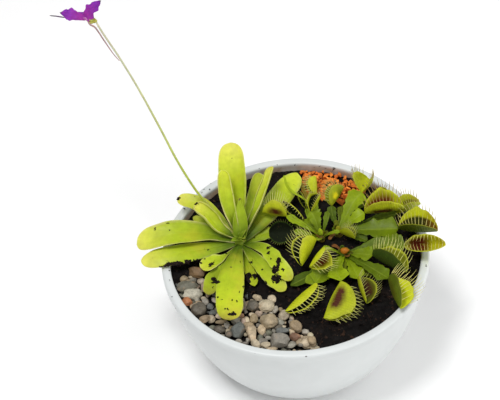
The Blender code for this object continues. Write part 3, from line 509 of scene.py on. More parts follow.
def tapered(ends, shares):
    """Radii that go evenly from the first end's to the second's."""
    return [ends[0] + (ends[1] - ends[0]) * share for share in shares]


def places_across(count):
    """Places across a leaf, from -1 at its left margin to 1 at its right one."""
    return [2 * share - 1 for share in even_shares(count)]


def smooth_route(points, shares, steps=24):
    """Points at the given shares of the length of a smooth curve through the route's own points."""
    ends = [points[0] * 2 - points[1], *points, points[-1] * 2 - points[-2]]
    fine = []
    for before, start, end, after in zip(ends, ends[1:], ends[2:], ends[3:]):
        for step in range(steps):
            t = step / steps
            bend = (2 * before - 5 * start + 4 * end - after) * t**2
            turn = (3 * start - before - 3 * end + after) * t**3
            fine.append(0.5 * (2 * start + (end - before) * t + bend + turn))
    fine.append(points[-1].copy())
    lengths = [0.0]
    for one, two in zip(fine, fine[1:]):
        lengths.append(lengths[-1] + (two - one).length)
    found = []
    index = 0
    for target in (share * lengths[-1] for share in shares):
        while index < len(fine) - 2 and lengths[index + 1] < target:
            index += 1
        part = (target - lengths[index]) / (lengths[index + 1] - lengths[index])
        found.append(fine[index].lerp(fine[index + 1], part))
    return found


def tangents(points):
    ends = [points[0], *points, points[-1]]
    return [(after - before).normalized() for before, after in zip(ends, ends[2:])]


def spine_frames(points, shares, face):
    """Along a smooth route: each share, its point, and the ways ahead, sideways and up there."""
    spine = smooth_route(points, shares)
    for share, point, way in zip(shares, spine, tangents(spine)):
        side = way.cross(face).normalized()
        yield share, point, way, side, side.cross(way).normalized()


def on_curve(table, share):
    """The value at a share, on a smooth curve through a table of (share, value)."""
    index = max(number for number in range(len(table) - 1) if table[number][0] <= share + 1e-9)
    four = [table[max(index - 1, 0)], *table[index : index + 2], table[min(index + 2, len(table) - 1)]]
    slopes = [(after[1] - before[1]) / (after[0] - before[0]) for before, after in zip(four, four[2:])]
    (start, low), (end, high) = four[1:3]
    span = end - start
    t = (share - start) / span
    level = (2 * t**3 - 3 * t**2 + 1) * low + (3 * t**2 - 2 * t**3) * high
    return level + ((t**3 - 2 * t**2 + t) * slopes[0] + (t**3 - t**2) * slopes[1]) * span


def bed_outline(edge, arc, steps=9):
    """The outline of a bed: its free edge, then the arc along the bowl's wall."""
    start, end = (math.radians(angle) for angle in arc)
    angles = [start + (end - start) * step / steps for step in range(steps + 1)]
    return [Vector(corner) for corner in edge] + [around(angle).xy * BED_REACH for angle in angles]


def is_inside(outline, x, y):
    """Whether a place lies inside the outline, by counting the sides that a ray crosses."""
    found = False
    for one, two in zip(outline, outline[1:] + outline[:1]):
        if (one.y > y) != (two.y > y) and x < one.x + (two.x - one.x) * (y - one.y) / (two.y - one.y):
            found = not found
    return found


def edge_distance(outline, x, y):
    """How far a place is from the nearest side of the outline."""
    place = Vector((x, y))
    nearest = BED_REACH
    for one, two in zip(outline, outline[1:] + outline[:1]):
        side = two - one
        share = min(1.0, max(0.0, (place - one).dot(side) / side.length_squared))
        nearest = min(nearest, (one + side * share - place).length)
    return nearest


# The camera and what its pixels show


def camera_axes():
    """The camera's own right, up and ahead."""
    down, roll = math.radians(CAMERA_DOWN), math.radians(CAMERA_ROLL)
    ahead = Vector((0, math.cos(down), -math.sin(down)))
    level_up = Vector((0, math.sin(down), math.cos(down)))
    level_right = Vector((1, 0, 0))
    right = level_right * math.cos(roll) - level_up * math.sin(roll)
    up = level_up * math.cos(roll) + level_right * math.sin(roll)
    return right, up, ahead


def sight_line(x, y):
    """The direction from the camera through a pixel of the photograph."""
    right, up, ahead = camera_axes()
    pixel = CAMERA_SENSOR / CAMERA_LENS / PHOTO_WIDTH
    sideways = right * (x - PHOTO_WIDTH / 2) + up * (PHOTO_HEIGHT / 2 - y)
    return (ahead + sideways * pixel).normalized()


def under_pixel(x, y, height):
    """The place that a pixel shows, at the given height above the soil."""
    way = sight_line(x, y)
    return CAMERA_PLACE + way * ((SOIL_LEVEL + height - CAMERA_PLACE.z) / way.z)


def place_camera():
    right, up, ahead = camera_axes()
    data = bpy.data.cameras.new("Camera")
    data.lens = CAMERA_LENS
    data.sensor_width = CAMERA_SENSOR
    data.clip_start, data.clip_end = (reach * MM for reach in CAMERA_SIGHT)
    camera = place_object("Camera", data)
    axes = Matrix((right, up, -ahead)).transposed().to_4x4()
    camera.matrix_world = Matrix.Translation(CAMERA_PLACE * MM) @ axes
    bpy.context.scene.camera = camera


# Finishes


class Value:
    """What a node gives, which plain signs do sums with."""

    def __init__(self, nodes, socket):
        self.nodes = nodes
        self.socket = socket

    def reckon(self, operation, other=0.0):
        return self.nodes.lay("Math", {0: self, 1: other}, operation=operation)

    def __add__(self, other):
        return self.reckon("ADD", other)

    def __sub__(self, other):
        return self.reckon("SUBTRACT", other)

    def __mul__(self, other):
        return self.reckon("MULTIPLY", other)

    def __abs__(self):
        return self.reckon("ABSOLUTE")

    def rise(self, low, high, start=0.0, end=1.0):
        """Goes smoothly from start to end while the value goes from low to high."""
        inputs = {"Value": self, "From Min": low, "From Max": high, "To Min": start, "To Max": end}
        return self.nodes.lay("MapRange", inputs, interpolation_type="SMOOTHSTEP")

    def blend(self, one, two):
        """A blend of two colours, by this share of the second."""
        return self.nodes.lay("Mix", {0: self, 6: one, 7: two}, 2, data_type="RGBA")


class Nodes:
    """A node tree and the place on the object that its patterns follow."""

    def __init__(self, tree):
        self.tree = tree
        self.place = None

    def feed(self, socket, value):
        """Feeds a socket by another node or with a plain value. A plain colour has three parts."""
        if isinstance(value, Value):
            self.tree.links.new(value.socket, socket)
        else:
            socket.default_value = (*value, 1) if socket.type == "RGBA" else value

    def lay(self, kind, inputs, output=0, **settings):
        """Adds a node, sets it up, feeds its inputs, and returns one of its outputs."""
        made = self.tree.nodes.new("ShaderNode" + kind)
        for name, value in settings.items():
            setattr(made, name, value)
        for name, value in inputs.items():
            self.feed(made.inputs[name], value)
        return Value(self, made.outputs[output])

    def noise(self, scale, detail=3.0, rough=0.55):
        inputs = {"Vector": self.place, "Scale": scale, "Detail": detail, "Roughness": rough}
        return self.lay("TexNoise", inputs)

    def cells(self, scale, output="Distance"):
        return self.lay("TexVoronoi", {"Vector": self.place, "Scale": scale}, output)


class Group(Nodes):
    """A named group that finishes share. Its sockets are numbers, apart from Place and Colour."""

    def __init__(self, name, inputs, output):
        super().__init__(bpy.data.node_groups.new(name, "ShaderNodeTree"))
        kinds = {"Place": "NodeSocketVector", "Colour": "NodeSocketColor"}
        for in_out, socket in [("INPUT", socket) for socket in inputs] + [("OUTPUT", output)]:
            kind = kinds.get(socket, "NodeSocketFloat")
            self.tree.interface.new_socket(name=socket, in_out=in_out, socket_type=kind)
        sockets = self.tree.nodes.new("NodeGroupInput").outputs
        self.given = [Value(self, sockets[socket]) for socket in inputs]
        self.result = self.tree.nodes.new("NodeGroupOutput").inputs[0]

    def close(self, value):
        self.feed(self.result, value)
        return self.tree


def make_mottling_group():
    """Cloudy patches of lighter and darker colour in two sizes, as stone, soil and leaves have."""
    group = Group("Mottling", ("Place", "Scale", "Colour", "Depth"), "Colour")
    group.place, scale, colour, depth = group.given
    both = group.noise(scale) * 0.65 + group.noise(scale * 5.5) * 0.35
    gain = both.rise(0.33, 0.67, -1.0, 1.0) * depth + 1.0
    return group.close(group.lay("VectorMath", {0: colour, "Scale": gain}, operation="SCALE"))


def make_patches_group():
    """A mask of soft patches that goes from the least to the most where clouds go from low to high."""
    group = Group("Patches", ("Place", "Scale", "Detail", "Low", "High", "Least", "Most"), "Mask")
    group.place, scale, detail, low, high, least, most = group.given
    return group.close(group.noise(scale, detail).rise(low, high, least, most))


def make_specks_group():
    """A mask of small scattered dots, as grit and bits of soil make."""
    group = Group("Specks", ("Place", "Scale", "Share"), "Mask")
    group.place, scale, share = group.given
    spot = (group.cells(scale) + group.noise(scale * 2.0)).rise(0.62, 0.7, 1.0, 0.0)
    pick = group.lay("SeparateColor", {0: group.cells(scale, "Color")})
    return group.close(spot * pick.reckon("LESS_THAN", share))


def make_ribs_group():
    """Raised veins that run along a leaf and fan out from its midrib."""
    group = Group("Ribs", ("Along", "Across", "Ribs"), "Height")
    along, across, ribs = group.given
    aside = abs(across)
    wave = ((along * 0.7 - aside) * (ribs * TURN)).reckon("SINE")
    return group.close(wave.rise(0.3, 1.0) * aside.rise(1.0, 0.6))


def make_grain_group():
    """Fine bumps in two sizes, for the skin of leaves, stones and glaze."""
    group = Group("Grain", ("Place", "Scale"), "Height")
    group.place, scale = group.given
    return group.close(group.noise(scale, 4.0, 0.6) + group.cells(scale * 3.0) * -0.35)


MOTTLING = make_mottling_group()
PATCHES = make_patches_group()
SPECKS = make_specks_group()
RIBS = make_ribs_group()
GRAIN = make_grain_group()


class Finish(Nodes):
    """A material with one shader, whose colour is laid on coat by coat."""

    def __init__(self, name, colour, **constants):
        self.material = bpy.data.materials.new(name)
        self.material.use_nodes = True
        super().__init__(self.material.node_tree)
        self.shader = self.tree.nodes["Principled BSDF"].inputs
        self.place = self.lay("TexCoord", {}, "Object")
        self.colour = colour
        self.normal = None
        for socket, value in constants.items():
            self.feed(self.shader[socket.replace("_", " ")], value)

    def read(self, *names):
        """The values of those names that belong to the points."""
        return [self.lay("Attribute", {}, "Fac", attribute_name=name) for name in names]

    def patches(self, scale, low, high, least=0.0, most=1.0, detail=3.0):
        inputs = {"Place": self.place, "Scale": scale, "Detail": detail, "Low": low, "High": high}
        return self.lay("Group", {**inputs, "Least": least, "Most": most}, node_tree=PATCHES)

    def specks(self, scale, share):
        return self.lay("Group", {"Place": self.place, "Scale": scale, "Share": share}, node_tree=SPECKS)

    def ribs(self, along, across, count):
        return self.lay("Group", {"Along": along, "Across": across, "Ribs": count}, node_tree=RIBS)

    def paint(self, colour, share):
        """Lays a colour over the colour so far, where the share says."""
        self.colour = share.blend(self.colour, colour)

    def mottle(self, scale, depth):
        inputs = {"Place": self.place, "Scale": scale, "Colour": self.colour, "Depth": depth}
        self.colour = self.lay("Group", inputs, node_tree=MOTTLING)

    def raise_surface(self, height, depth, strength=1.0):
        """Bumps up to the given depth in millimetres, over the bumps so far."""
        inputs = {"Height": height, "Distance": depth * MM, "Strength": strength}
        if self.normal:
            inputs["Normal"] = self.normal
        self.normal = self.lay("Bump", inputs)

    def close(self, roughness, grain, depth, strength=1.0):
        """Adds the finest bumps, feeds the shader, and returns the material."""
        fine = self.lay("Group", {"Place": self.place, "Scale": grain}, node_tree=GRAIN)
        self.raise_surface(fine, depth, strength)
        self.feed(self.shader["Base Color"], self.colour)
        self.feed(self.shader["Roughness"], roughness)
        self.feed(self.shader["Normal"], self.normal)
        return self.material


def make_bowl_glaze():
    """White glaze with faint clouds, a brownish film on the inner wall that is partly real water marks and
    partly a painted reflection of the clay, and grit near the soil.
    """
    glaze = Finish("Bowl glaze", (0.632, 0.657, 0.652), Specular_IOR_Level=0.45)
    x, y, height = (glaze.lay("SeparateXYZ", {0: glaze.place}, axis) * (1 / MM) for axis in range(3))
    reach = (x * x + y * y).reckon("SQRT")
    wall = RIM_RADIUS - LIP_WIDTH
    band = height.rise(BOWL_HEIGHT - 1, BOWL_HEIGHT - 5) * height.rise(BOWL_HEIGHT - 22, BOWL_HEIGHT - 16)
    # A brownish film on the inner wall below the lip: partly real water marks, partly a painted reflection of
    # the clay
    stain = reach.rise(wall + 1.6, wall + 0.4) * band * glaze.patches(55.0, 0.32, 0.62, 0.35, 1.0, 4.0)
    grit = glaze.specks(260.0, 0.045) * height.rise(BOWL_HEIGHT - 22, BOWL_HEIGHT - 4)
    dirt = grit.reckon("MAXIMUM", glaze.specks(420.0, 0.3) * stain)
    glaze.mottle(14.0, 0.03)
    glaze.paint((0.43, 0.31, 0.215), stain)
    glaze.paint((0.045, 0.03, 0.02), dirt)
    glaze.raise_surface(dirt, 0.15)
    smear = glaze.patches(30.0, 0.3, 0.7, 0.3, 0.42, 5.0)
    return glaze.close(smear.reckon("MAXIMUM", stain * 0.7), 90.0, 0.05)


def make_peat():
    """Near black peat, with crumbs and fibres that are redder and lighter."""
    peat = Finish("Peat", (0.0055, 0.0045, 0.0042), Specular_IOR_Level=0.12)
    peat.paint((0.06, 0.03, 0.018), *peat.read("tone"))
    peat.paint((0.018, 0.011, 0.008), peat.patches(60.0, 0.52, 0.72, 0.0, 0.55, 4.0))
    peat.mottle(260.0, 0.55)
    peat.paint((0.08, 0.05, 0.034), peat.specks(520.0, 0.06))
    return peat.close(peat.patches(120.0, 0.35, 0.65, 0.62, 0.95), 700.0, 0.5)


def make_river_stone():
    """Worn stones, each in its own colour, with mottling, grit, pale scuffs and rusty stains."""
    stone = Finish("River stone", None, Specular_IOR_Level=0.4)
    stone.colour = stone.lay("Attribute", {}, "Color", attribute_name="stone_colour")
    stone.mottle(170.0, 0.3)
    stone.paint((0.4, 0.2, 0.09), stone.patches(85.0, 0.6, 0.74, 0.0, 0.55, 4.0))
    stone.paint((0.6, 0.53, 0.41), stone.specks(900.0, 0.22) * 0.4)
    stone.paint((0.035, 0.028, 0.022), stone.specks(640.0, 0.14) * 0.6)
    # Darker towards each stone's foot
    stone.paint((0.02, 0.014, 0.01), *stone.read("buried"))
    return stone.close(stone.patches(300.0, 0.3, 0.7, 0.5, 0.75), 480.0, 0.22)


def make_fired_clay():
    """Crushed baked clay: orange, redder in places, dusty and porous."""
    clay = Finish("Fired clay", (0.58, 0.13, 0.02), Specular_IOR_Level=0.2)
    tone, buried = clay.read("tone", "buried")
    clay.paint((0.98, 0.35, 0.055), tone)
    clay.mottle(240.0, 0.3)
    clay.paint((0.12, 0.026, 0.012), clay.specks(800.0, 0.3) * 0.7)
    # Darker towards each crumb's foot
    clay.paint((0.05, 0.012, 0.006), buried)
    return clay.close(clay.patches(400.0, 0.3, 0.7, 0.75, 0.95), 900.0, 0.3)


def make_butterwort_skin():
    """Greasy yellow-green skin, darkened at the base by painted shade, deeper green on some leaves, partly
    painted shade, pale at tip and margin, with tiny glands and soil.
    """
    soft = dict(Subsurface_Weight=0.12, Subsurface_Radius=(1.0, 0.9, 0.2), Subsurface_Scale=1.5 * MM)
    skin = Finish("Butterwort skin", (0.055, 0.105, 0.005), Specular_IOR_Level=0.22, **soft)
    along, across, upper = skin.read("along", "across", "upper")
    pale_tip, pale_margin, deep, brown_tip = skin.read("pale_tip", "pale_margin", "deep", "brown_tip")
    aside = abs(across)
    # Painted shade: dark green at the base, where the leaves crowd at the crown, lighter towards the tip
    skin.paint((0.4, 0.51, 0.014), along.rise(0.03, 0.42))
    skin.paint((0.55, 0.63, 0.018), along.rise(0.35, 0.9))
    # A deeper green on some leaves, partly their own colour and partly painted shade
    skin.paint((0.2, 0.3, 0.014), deep * 0.75)
    skin.paint((0.72, 0.68, 0.12), along.rise(0.45, 0.95) * pale_tip * 0.8)
    skin.paint((0.5, 0.56, 0.03), aside.rise(0.1, 0.0) * along.rise(0.9, 0.2, 0.0, 0.15))
    uneven = skin.patches(90.0, 0.3, 0.65, 0.15, 0.75)
    skin.paint((0.72, 0.63, 0.3), aside.rise(pale_margin * -0.32 + 0.97, 1.0) * pale_margin * uneven)
    skin.paint((0.26, 0.17, 0.04), brown_tip)
    skin.mottle(48.0, 0.13)
    skin.paint((0.5, 0.43, 0.03), skin.patches(34.0, 0.52, 0.72, 0.0, 0.4, 4.0))
    skin.paint((0.36, 0.42, 0.04), upper.rise(0.5, 0.0, 0.0, 0.5))
    bits = skin.specks(190.0, 0.05).reckon("MAXIMUM", skin.specks(420.0, 0.035))
    skin.paint((0.09, 0.06, 0.015), bits * 0.75)
    skin.raise_surface(skin.ribs(along, across, 9.0), 0.06, 0.5)
    return skin.close(skin.patches(130.0, 0.3, 0.7, 0.34, 0.52), 420.0, 0.12, 0.7)


def make_stalk_skin():
    """The flower stalk: yellow-green at its foot, pale grey-green at the top, and yellower sepals."""
    soft = dict(Subsurface_Weight=0.15, Subsurface_Scale=MM)
    skin = Finish("Flower stalk skin", (0.4, 0.47, 0.05), Specular_IOR_Level=0.4, **soft)
    along, sepal = skin.read("along", "sepal")
    skin.paint((0.5, 0.49, 0.33), along.rise(0.2, 0.95))
    skin.mottle(120.0, 0.14)
    skin.paint((0.42, 0.4, 0.05), sepal)
    return skin.close(skin.patches(200.0, 0.3, 0.7, 0.4, 0.6), 800.0, 0.08)


def make_petal_skin():
    """Violet petals with darker veins and a frilled end with a blackish tip, painted shade on the sides and
    end of one petal, and a pink tube with a brown spur.
    """
    soft = dict(Subsurface_Weight=0.2, Subsurface_Scale=MM)
    skin = Finish("Petal skin", (0.31, 0.022, 0.3), Specular_IOR_Level=0.3, **soft)
    along, across, dark, tube_share, spur = skin.read("along", "across", "dark", "tube", "spur")
    ribs = skin.ribs(along, across, 6.0)
    skin.paint((0.21, 0.016, 0.34), along.rise(0.1, 0.8))
    skin.paint((0.15, 0.012, 0.22), ribs * 0.35)
    # Blackish petal tips, and painted shade on one petal's sides and end
    skin.paint((0.03, 0.015, 0.03), dark)
    skin.paint((0.62, 0.33, 0.45), tube_share)
    skin.paint((0.33, 0.2, 0.2), spur)
    skin.mottle(260.0, 0.16)
    skin.raise_surface(ribs, 0.12, 0.6)
    return skin.close(skin.patches(300.0, 0.3, 0.7, 0.5, 0.7), 1200.0, 0.06)


def make_flytrap_skin():
    """Flytrap leaves: green winged stalks and brighter lobes under painted light and shade, red inside the
    lobes, painted shade deep inside them, a reddish tinge and painted shade outside, and pale teeth.
    """
    soft = dict(Subsurface_Weight=0.1, Subsurface_Radius=(0.9, 1.0, 0.2), Subsurface_Scale=MM)
    skin = Finish("Flytrap skin", (0.016, 0.044, 0.002), Specular_IOR_Level=0.17, **soft)
    along, across, upper, bright = skin.read("along", "across", "upper", "bright")
    lobe, red, dusk, blush, rim = skin.read("lobe", "red", "dusk", "blush", "rim")
    tooth, russet, gold, withered, orange = skin.read("tooth", "russet", "gold", "withered", "orange")
    aside = abs(across)
    streak = skin.noise(260.0)
    inside, outside = upper.rise(0.4, 0.9) * lobe, upper.rise(0.6, 0.1) * lobe

    # Green, lit and shaded by painted light, with a paler rib, rim and veins
    skin.paint(lobe.blend((0.44, 0.58, 0.008), (0.6, 0.65, 0.016)), bright)
    skin.paint((0.34, 0.42, 0.05), aside.rise(0.16, 0.0) * lobe.rise(0.5, 0.0, 0.0, 0.25))
    skin.paint(bright.blend((0.03, 0.05, 0.005), (0.6, 0.61, 0.05)), aside.rise(0.72, 1.0) * lobe * 0.6)
    ribs = skin.lay("Mix", {0: lobe, 2: skin.ribs(along, across, 7.0), 3: skin.ribs(along, 0.0, 24.0)})
    rib_colour = bright.blend((0.03, 0.06, 0.003), (0.32, 0.4, 0.014))
    skin.paint(rib_colour, ribs * lobe.rise(0.0, 1.0, 0.07, 0.14))

    # Red and painted shade inside the lobes, and a reddish tinge with painted shade on their outside
    flushed = aside.rise(0.92, 0.5) * streak.rise(0.2, 0.5, 0.7, 1.0) * abs(along - 0.42).rise(0.47, 0.22)
    skin.paint((0.16, 0.02, 0.007), inside * flushed * red)
    # Painted shade deep inside the lobes, stopping short of their rim
    skin.paint((0.008, 0.012, 0.004), inside * (aside + rim).rise(1.0, 0.84) * dusk)
    middle = aside.rise(0.72, 0.38) * aside.rise(0.02, 0.3) * abs(along - 0.45).rise(0.44, 0.16)
    # A reddish tinge on the middle of the lobes' outside, partly real colour and partly painted shade
    skin.paint((0.065, 0.015, 0.005), outside * middle * streak.rise(0.25, 0.6, 0.8, 1.15) * blush)

    # Teeth, and what single leaves show
    # Teeth: pale in painted light, dark green in painted shade, and russet on some traps
    tooth_colour = russet.blend(bright.blend((0.06, 0.08, 0.01), (0.72, 0.7, 0.22)), (0.3, 0.12, 0.04))
    skin.paint(tooth_colour, tooth)
    skin.paint((0.8, 0.7, 0.012), gold)
    skin.paint((0.2, 0.075, 0.018), withered)
    skin.paint((0.36, 0.12, 0.008), orange)
    skin.mottle(110.0, 0.14)
    skin.paint((0.05, 0.035, 0.012), skin.specks(260.0, 0.035) * 0.6)
    skin.raise_surface(ribs * lobe.rise(0.0, 1.0, 0.25, 1.0), 0.2, 0.8)
    matt = bright.rise(0.3, 0.0) * 0.85
    return skin.close(skin.patches(200.0, 0.3, 0.7, 0.34, 0.54).reckon("MAXIMUM", matt), 600.0, 0.12, 0.7)


# Bodies


def moved(shape, place):
    points, faces = shape
    return [point + place for point in points], faces


def band(one, two):
    """The faces between two rings of points."""
    return [(one[index - 1], one[index], two[index], two[index - 1]) for index in range(len(one))]


def turned(profile, sides, x=0, y=0):
    """A closed shape turned about an upright axis, from a half profile that starts and ends on the axis."""
    axis = Vector((x, y, 0))
    points = [axis + UP * profile[0][1]]
    for radius, height in profile[1:-1]:
        points += [axis + around(TURN * side / sides, radius, height) for side in range(sides)]
    top = len(points)
    points.append(axis + UP * profile[-1][1])
    rings = [range(first, first + sides) for first in range(1, top, sides)]
    faces = [(0, rings[0][side], rings[0][side - 1]) for side in range(sides)]
    for lower, upper in zip(rings, rings[1:]):
        faces += band(lower, upper)
    return points, faces + [(rings[-1][side - 1], rings[-1][side], top) for side in range(sides)]


def tube(points, radii, sides):
    """A closed tube along the points, with the given radii."""
    body, faces = [], []
    guide = UP if abs((points[-1] - points[0]).normalized().z) < 0.9 else Vector((1, 0, 0))
    for point, way, radius in zip(points, tangents(points), radii):
        across = way.cross(guide).normalized()
        other = across.cross(way)
        for angle in (TURN * side / sides for side in range(sides)):
            body.append(point + (across * math.cos(angle) + other * math.sin(angle)) * radius)
    rings = [range(first, first + sides) for first in range(0, len(body), sides)]
    for before, after in zip(rings, rings[1:]):
        faces += band(after, before)
    return body, [*faces, tuple(rings[0]), tuple(reversed(rings[-1]))]


def points_and_faces(shape):
    """What a worked mesh is made of. The mesh itself is set free."""
    shape.verts.index_update()
    points = [corner.co.copy() for corner in shape.verts]
    faces = [tuple(corner.index for corner in face.verts) for face in shape.faces]
    shape.free()
    return points, faces


def ball(detail):
    shape = bmesh.new()
    bmesh.ops.create_icosphere(shape, subdivisions=detail, radius=1)
    return points_and_faces(shape)


def spin_and_lean(spin, lean):
    return Matrix.Rotation(spin, 3, "Z") @ Matrix.Rotation(lean, 3, "X")


def rough_lump(size, stretch, corners, draw):
    """A broken, angular crumb: the hull of a few random points."""
    shape = bmesh.new()
    for corner in range(corners):
        way = any_way(draw) * draw.uniform(0.75, 1.0)
        shape.verts.new(way * Vector(stretch) * size / 2)
    hull = bmesh.ops.convex_hull(shape, input=shape.verts)
    spare = [item for item in hull["geom_interior"] if isinstance(item, bmesh.types.BMVert)]
    bmesh.ops.delete(shape, geom=spare, context="VERTS")
    bmesh.ops.recalc_face_normals(shape, faces=shape.faces)
    points, faces = points_and_faces(shape)
    turn = spin_and_lean(draw.uniform(0, TURN), draw.uniform(-0.5, 0.5))
    return [turn @ point for point in points], faces


def stone_shape(size, turn, angular, detail, draw):
    """A worn stone: a ball that is stretched, dented in broad waves and, if it is angular, flattened."""
    base, faces = BALLS[detail]
    seed = Vector([draw.uniform(-50, 50) for axis in range(3)])
    cuts = [(any_way(draw), draw.uniform(0.62, 0.85)) for cut in range(12 if angular else 0)]
    spin = spin_and_lean(math.radians(turn), draw.uniform(-0.4, 0.4))
    points = []
    for way in base:
        reach = 1 + 0.26 * noise.noise(way * 1.2 + seed) + 0.09 * noise.noise(way * 2.9 + seed)
        for cut, limit in cuts:
            facing = way.dot(cut)
            if facing * reach > limit:
                reach = reach * 0.12 + limit / facing * 0.88
        reach += 0.012 * noise.noise(way * 9 + seed)
        points.append(spin @ (way * reach * Vector(size) / 2))
    return points, faces


BALLS = {detail: ball(detail) for detail in (3, 4)}


# Bowl


def outer_radius(height):
    """The bowl's outside, a curve that is fuller than a cone and slimmer than a round one."""
    down = (BOWL_HEIGHT - height) / BOWL_HEIGHT
    return BASE_RADIUS + (RIM_RADIUS - BASE_RADIUS) * (1 - down ** (2 / BULGE)) ** (BULGE / 2)


def inner_radius(height):
    return min(outer_radius(height) - WALL, RIM_RADIUS - LIP_WIDTH)


def bent_line(start, corner, end, shares):
    """A curve that leaves one straight line at the start and joins another at the end."""
    return [start.lerp(corner, t).lerp(corner.lerp(end, t), t) for t in shares]


def rounded_corner(before, corner, after, radius):
    """Points of a curve that rounds a corner of a profile."""
    before, corner, after = (Vector(place) for place in (before, corner, after))
    start = corner + (before - corner).normalized() * radius
    end = corner + (after - corner).normalized() * radius
    return [tuple(point) for point in bent_line(start, corner, end, even_shares(5))]


def bowl_profile():
    """From the underside's middle round the foot, up the outside, over the lip and down the inside."""
    lip_foot = BOWL_HEIGHT - LIP_DEPTH
    below_neck = (outer_radius(lip_foot - 4) - LIP_OVERHANG, lip_foot - 4)
    neck = (outer_radius(lip_foot) - LIP_OVERHANG, lip_foot - 0.8)
    lip_edge = (outer_radius(lip_foot) + 0.1, lip_foot)
    top_edge = (RIM_RADIUS, BOWL_HEIGHT)
    inner_edge = (RIM_RADIUS - LIP_WIDTH, BOWL_HEIGHT)
    inner_foot = (RIM_RADIUS - LIP_WIDTH, BOWL_HEIGHT - 9)
    corners = [below_neck, neck, lip_edge, top_edge, inner_edge, inner_foot]
    profile = [(0, FOOT_RECESS), (BASE_RADIUS - 9, FOOT_RECESS)]
    profile += [(BASE_RADIUS - 7.6, 0.15), (BASE_RADIUS - 6.8, 0)]
    profile += rounded_corner((BASE_RADIUS - 7, 0), (BASE_RADIUS + 0.2, 0), (BASE_RADIUS + 3, 6), 1.2)
    profile += [(outer_radius(z) - LIP_OVERHANG, z) for z in range(4, int(lip_foot) - 2, 4)]
    for number, radius in enumerate((0.9, 0.5, LIP_ROUND, LIP_ROUND)):
        profile += rounded_corner(*corners[number : number + 3], radius)
    profile += [(inner_radius(z), z) for z in range(96, int(FLOOR), -6)]
    return profile + [(inner_radius(FLOOR) - 3, FLOOR), (0, FLOOR)]


def build_bowl(finish):
    bowl = Form()
    bowl.add(turned(bowl_profile(), BOWL_SIDES))
    make_piece("planted_bowl", bowl, finish, ["bowl"], sharp=40)
    return bowl


# Soil and stones


def relief(x, y):
    """How far the soil dips at a place, from 0 to 1."""
    waves = math.sin(x * 0.21 + 1.3) * math.cos(y * 0.17) + math.sin((x + y) * 0.11 + 0.6)
    return min(1.0, max(0.0, 0.5 + 0.3 * waves))


def on_peat(x, y, beds, lift=0.0):
    """A place that far above the peat's rough surface, which dips under the beds of stones."""
    height = -SOIL_RELIEF * relief(x, y)
    for size, depth in SOIL_ROUGHNESS:
        height += depth * rough(x / size, y / size, size)
    for outline in beds:
        if is_inside(outline, x, y):
            height -= BED_DIP * min(1.0, edge_distance(outline, x, y) / 5)
    return above_soil((x, y, height + lift))


def grid_border(rows, columns):
    """The row and column of each point round the border of a grid."""
    last_row, last_column = rows - 1, columns - 1
    border = [(0, column) for column in range(last_column)] + [(row, last_column) for row in range(last_row)]
    border += [(last_row, column) for column in range(last_column, 0, -1)]
    return border + [(row, 0) for row in range(last_row, 0, -1)]


def peat_body(beds):
    """The peat as one closed body: a rough top on a grid that is bent to a disc, and a plain side below."""
    count = SOIL_GRID + 1
    top_radius = inner_radius(SOIL_LEVEL) - GAP
    points, faces = [], []
    for row in range(count):
        for column in range(count):
            u, v = 2 * row / SOIL_GRID - 1, 2 * column / SOIL_GRID - 1
            x, y = top_radius * u * math.sqrt(1 - v * v / 2), top_radius * v * math.sqrt(1 - u * u / 2)
            points.append(on_peat(x, y, beds))
            if row < SOIL_GRID and column < SOIL_GRID:
                a = row * count + column
                faces.append((a, a + count, a + count + 1, a + 1))
    ring = border = [row * count + column for row, column in grid_border(count, count)]
    for height in PEAT_RINGS:
        lower = list(range(len(points), len(points) + len(border)))
        for number in border:
            flat = points[number].xy.normalized() * (inner_radius(height) - GAP)
            points.append(Vector((*flat, height)))
        faces += band(ring, lower)
        ring = lower
    points.append(Vector((0, 0, FLOOR + GAP)))
    faces += [(corner, len(points) - 1, ring[index - 1]) for index, corner in enumerate(ring)]
    return points, faces


def fibre_line(beds, draw):
    """A wandering line on the peat, which ends at the bowl's wall."""
    place = any_place(draw, SOIL_REACH - 4).xy
    way = draw.uniform(0, TURN)
    line = []
    for step in range(6):
        way += draw.uniform(-0.5, 0.5)
        place += around(way).xy * draw.uniform(0.8, 1.8)
        if place.length > SOIL_REACH:
            break
        line.append(on_peat(*place, beds, 0.3 + 0.5 * math.sin(step * 1.3)))
    return line


def build_soil(beds, finish):
    """The peat with loose crumbs and fibres on it."""
    draw = random.Random(SEEDS["soil"])
    soil = Form()
    soil.add(peat_body(beds), tone=0.0)
    for crumb in range(SOIL_CRUMBS):
        spot = any_place(draw, SOIL_REACH)
        size = 0.9 + 3.4 * draw.random() ** 3
        place = on_peat(spot.x, spot.y, beds, size * 0.15)
        soil.add(moved(rough_lump(size, (1.2, 1.0, 0.75), 9, draw), place), tone=draw.random() ** 2.5)
    for fibre in range(SOIL_FIBRES):
        line = fibre_line(beds, draw)
        if len(line) > 3:
            radii = [draw.uniform(0.2, 0.45) for point in line]
            soil.add(tube(line, radii, 5), tone=draw.uniform(0.3, 1.0))
    make_piece("crumbly_peat", soil, finish, ["soil"], sharp=35)


class Heap:
    """Stones that lie on the bed's floor and on each other."""

    def __init__(self, closeness):
        self.closeness = closeness
        self.placed = []

    def clash(self, place, radius):
        """Whether a stone at this place would sink into one that lies there."""
        return any((place - other).length < (radius + reach) * self.closeness for other, reach in self.placed)

    def settle(self, where, radius, tall, top):
        """The lowest free place for a stone on a line given by its height, or None above the top."""
        height = HEAP_FLOOR + tall * 0.4
        while height < top:
            place = where(height)
            if not self.clash(place, radius):
                self.placed.append((place, radius))
                return place
            height += HEAP_STEP
        return None


def bury(shape):
    """How much darker each point of a stone or crumb is, from 1 at its foot to 0 higher up."""
    low = SOIL_LEVEL - BED_DIP
    return [1.0 - ease(point.z, low, low + DIRT_HEIGHT) for point in shape[0]]


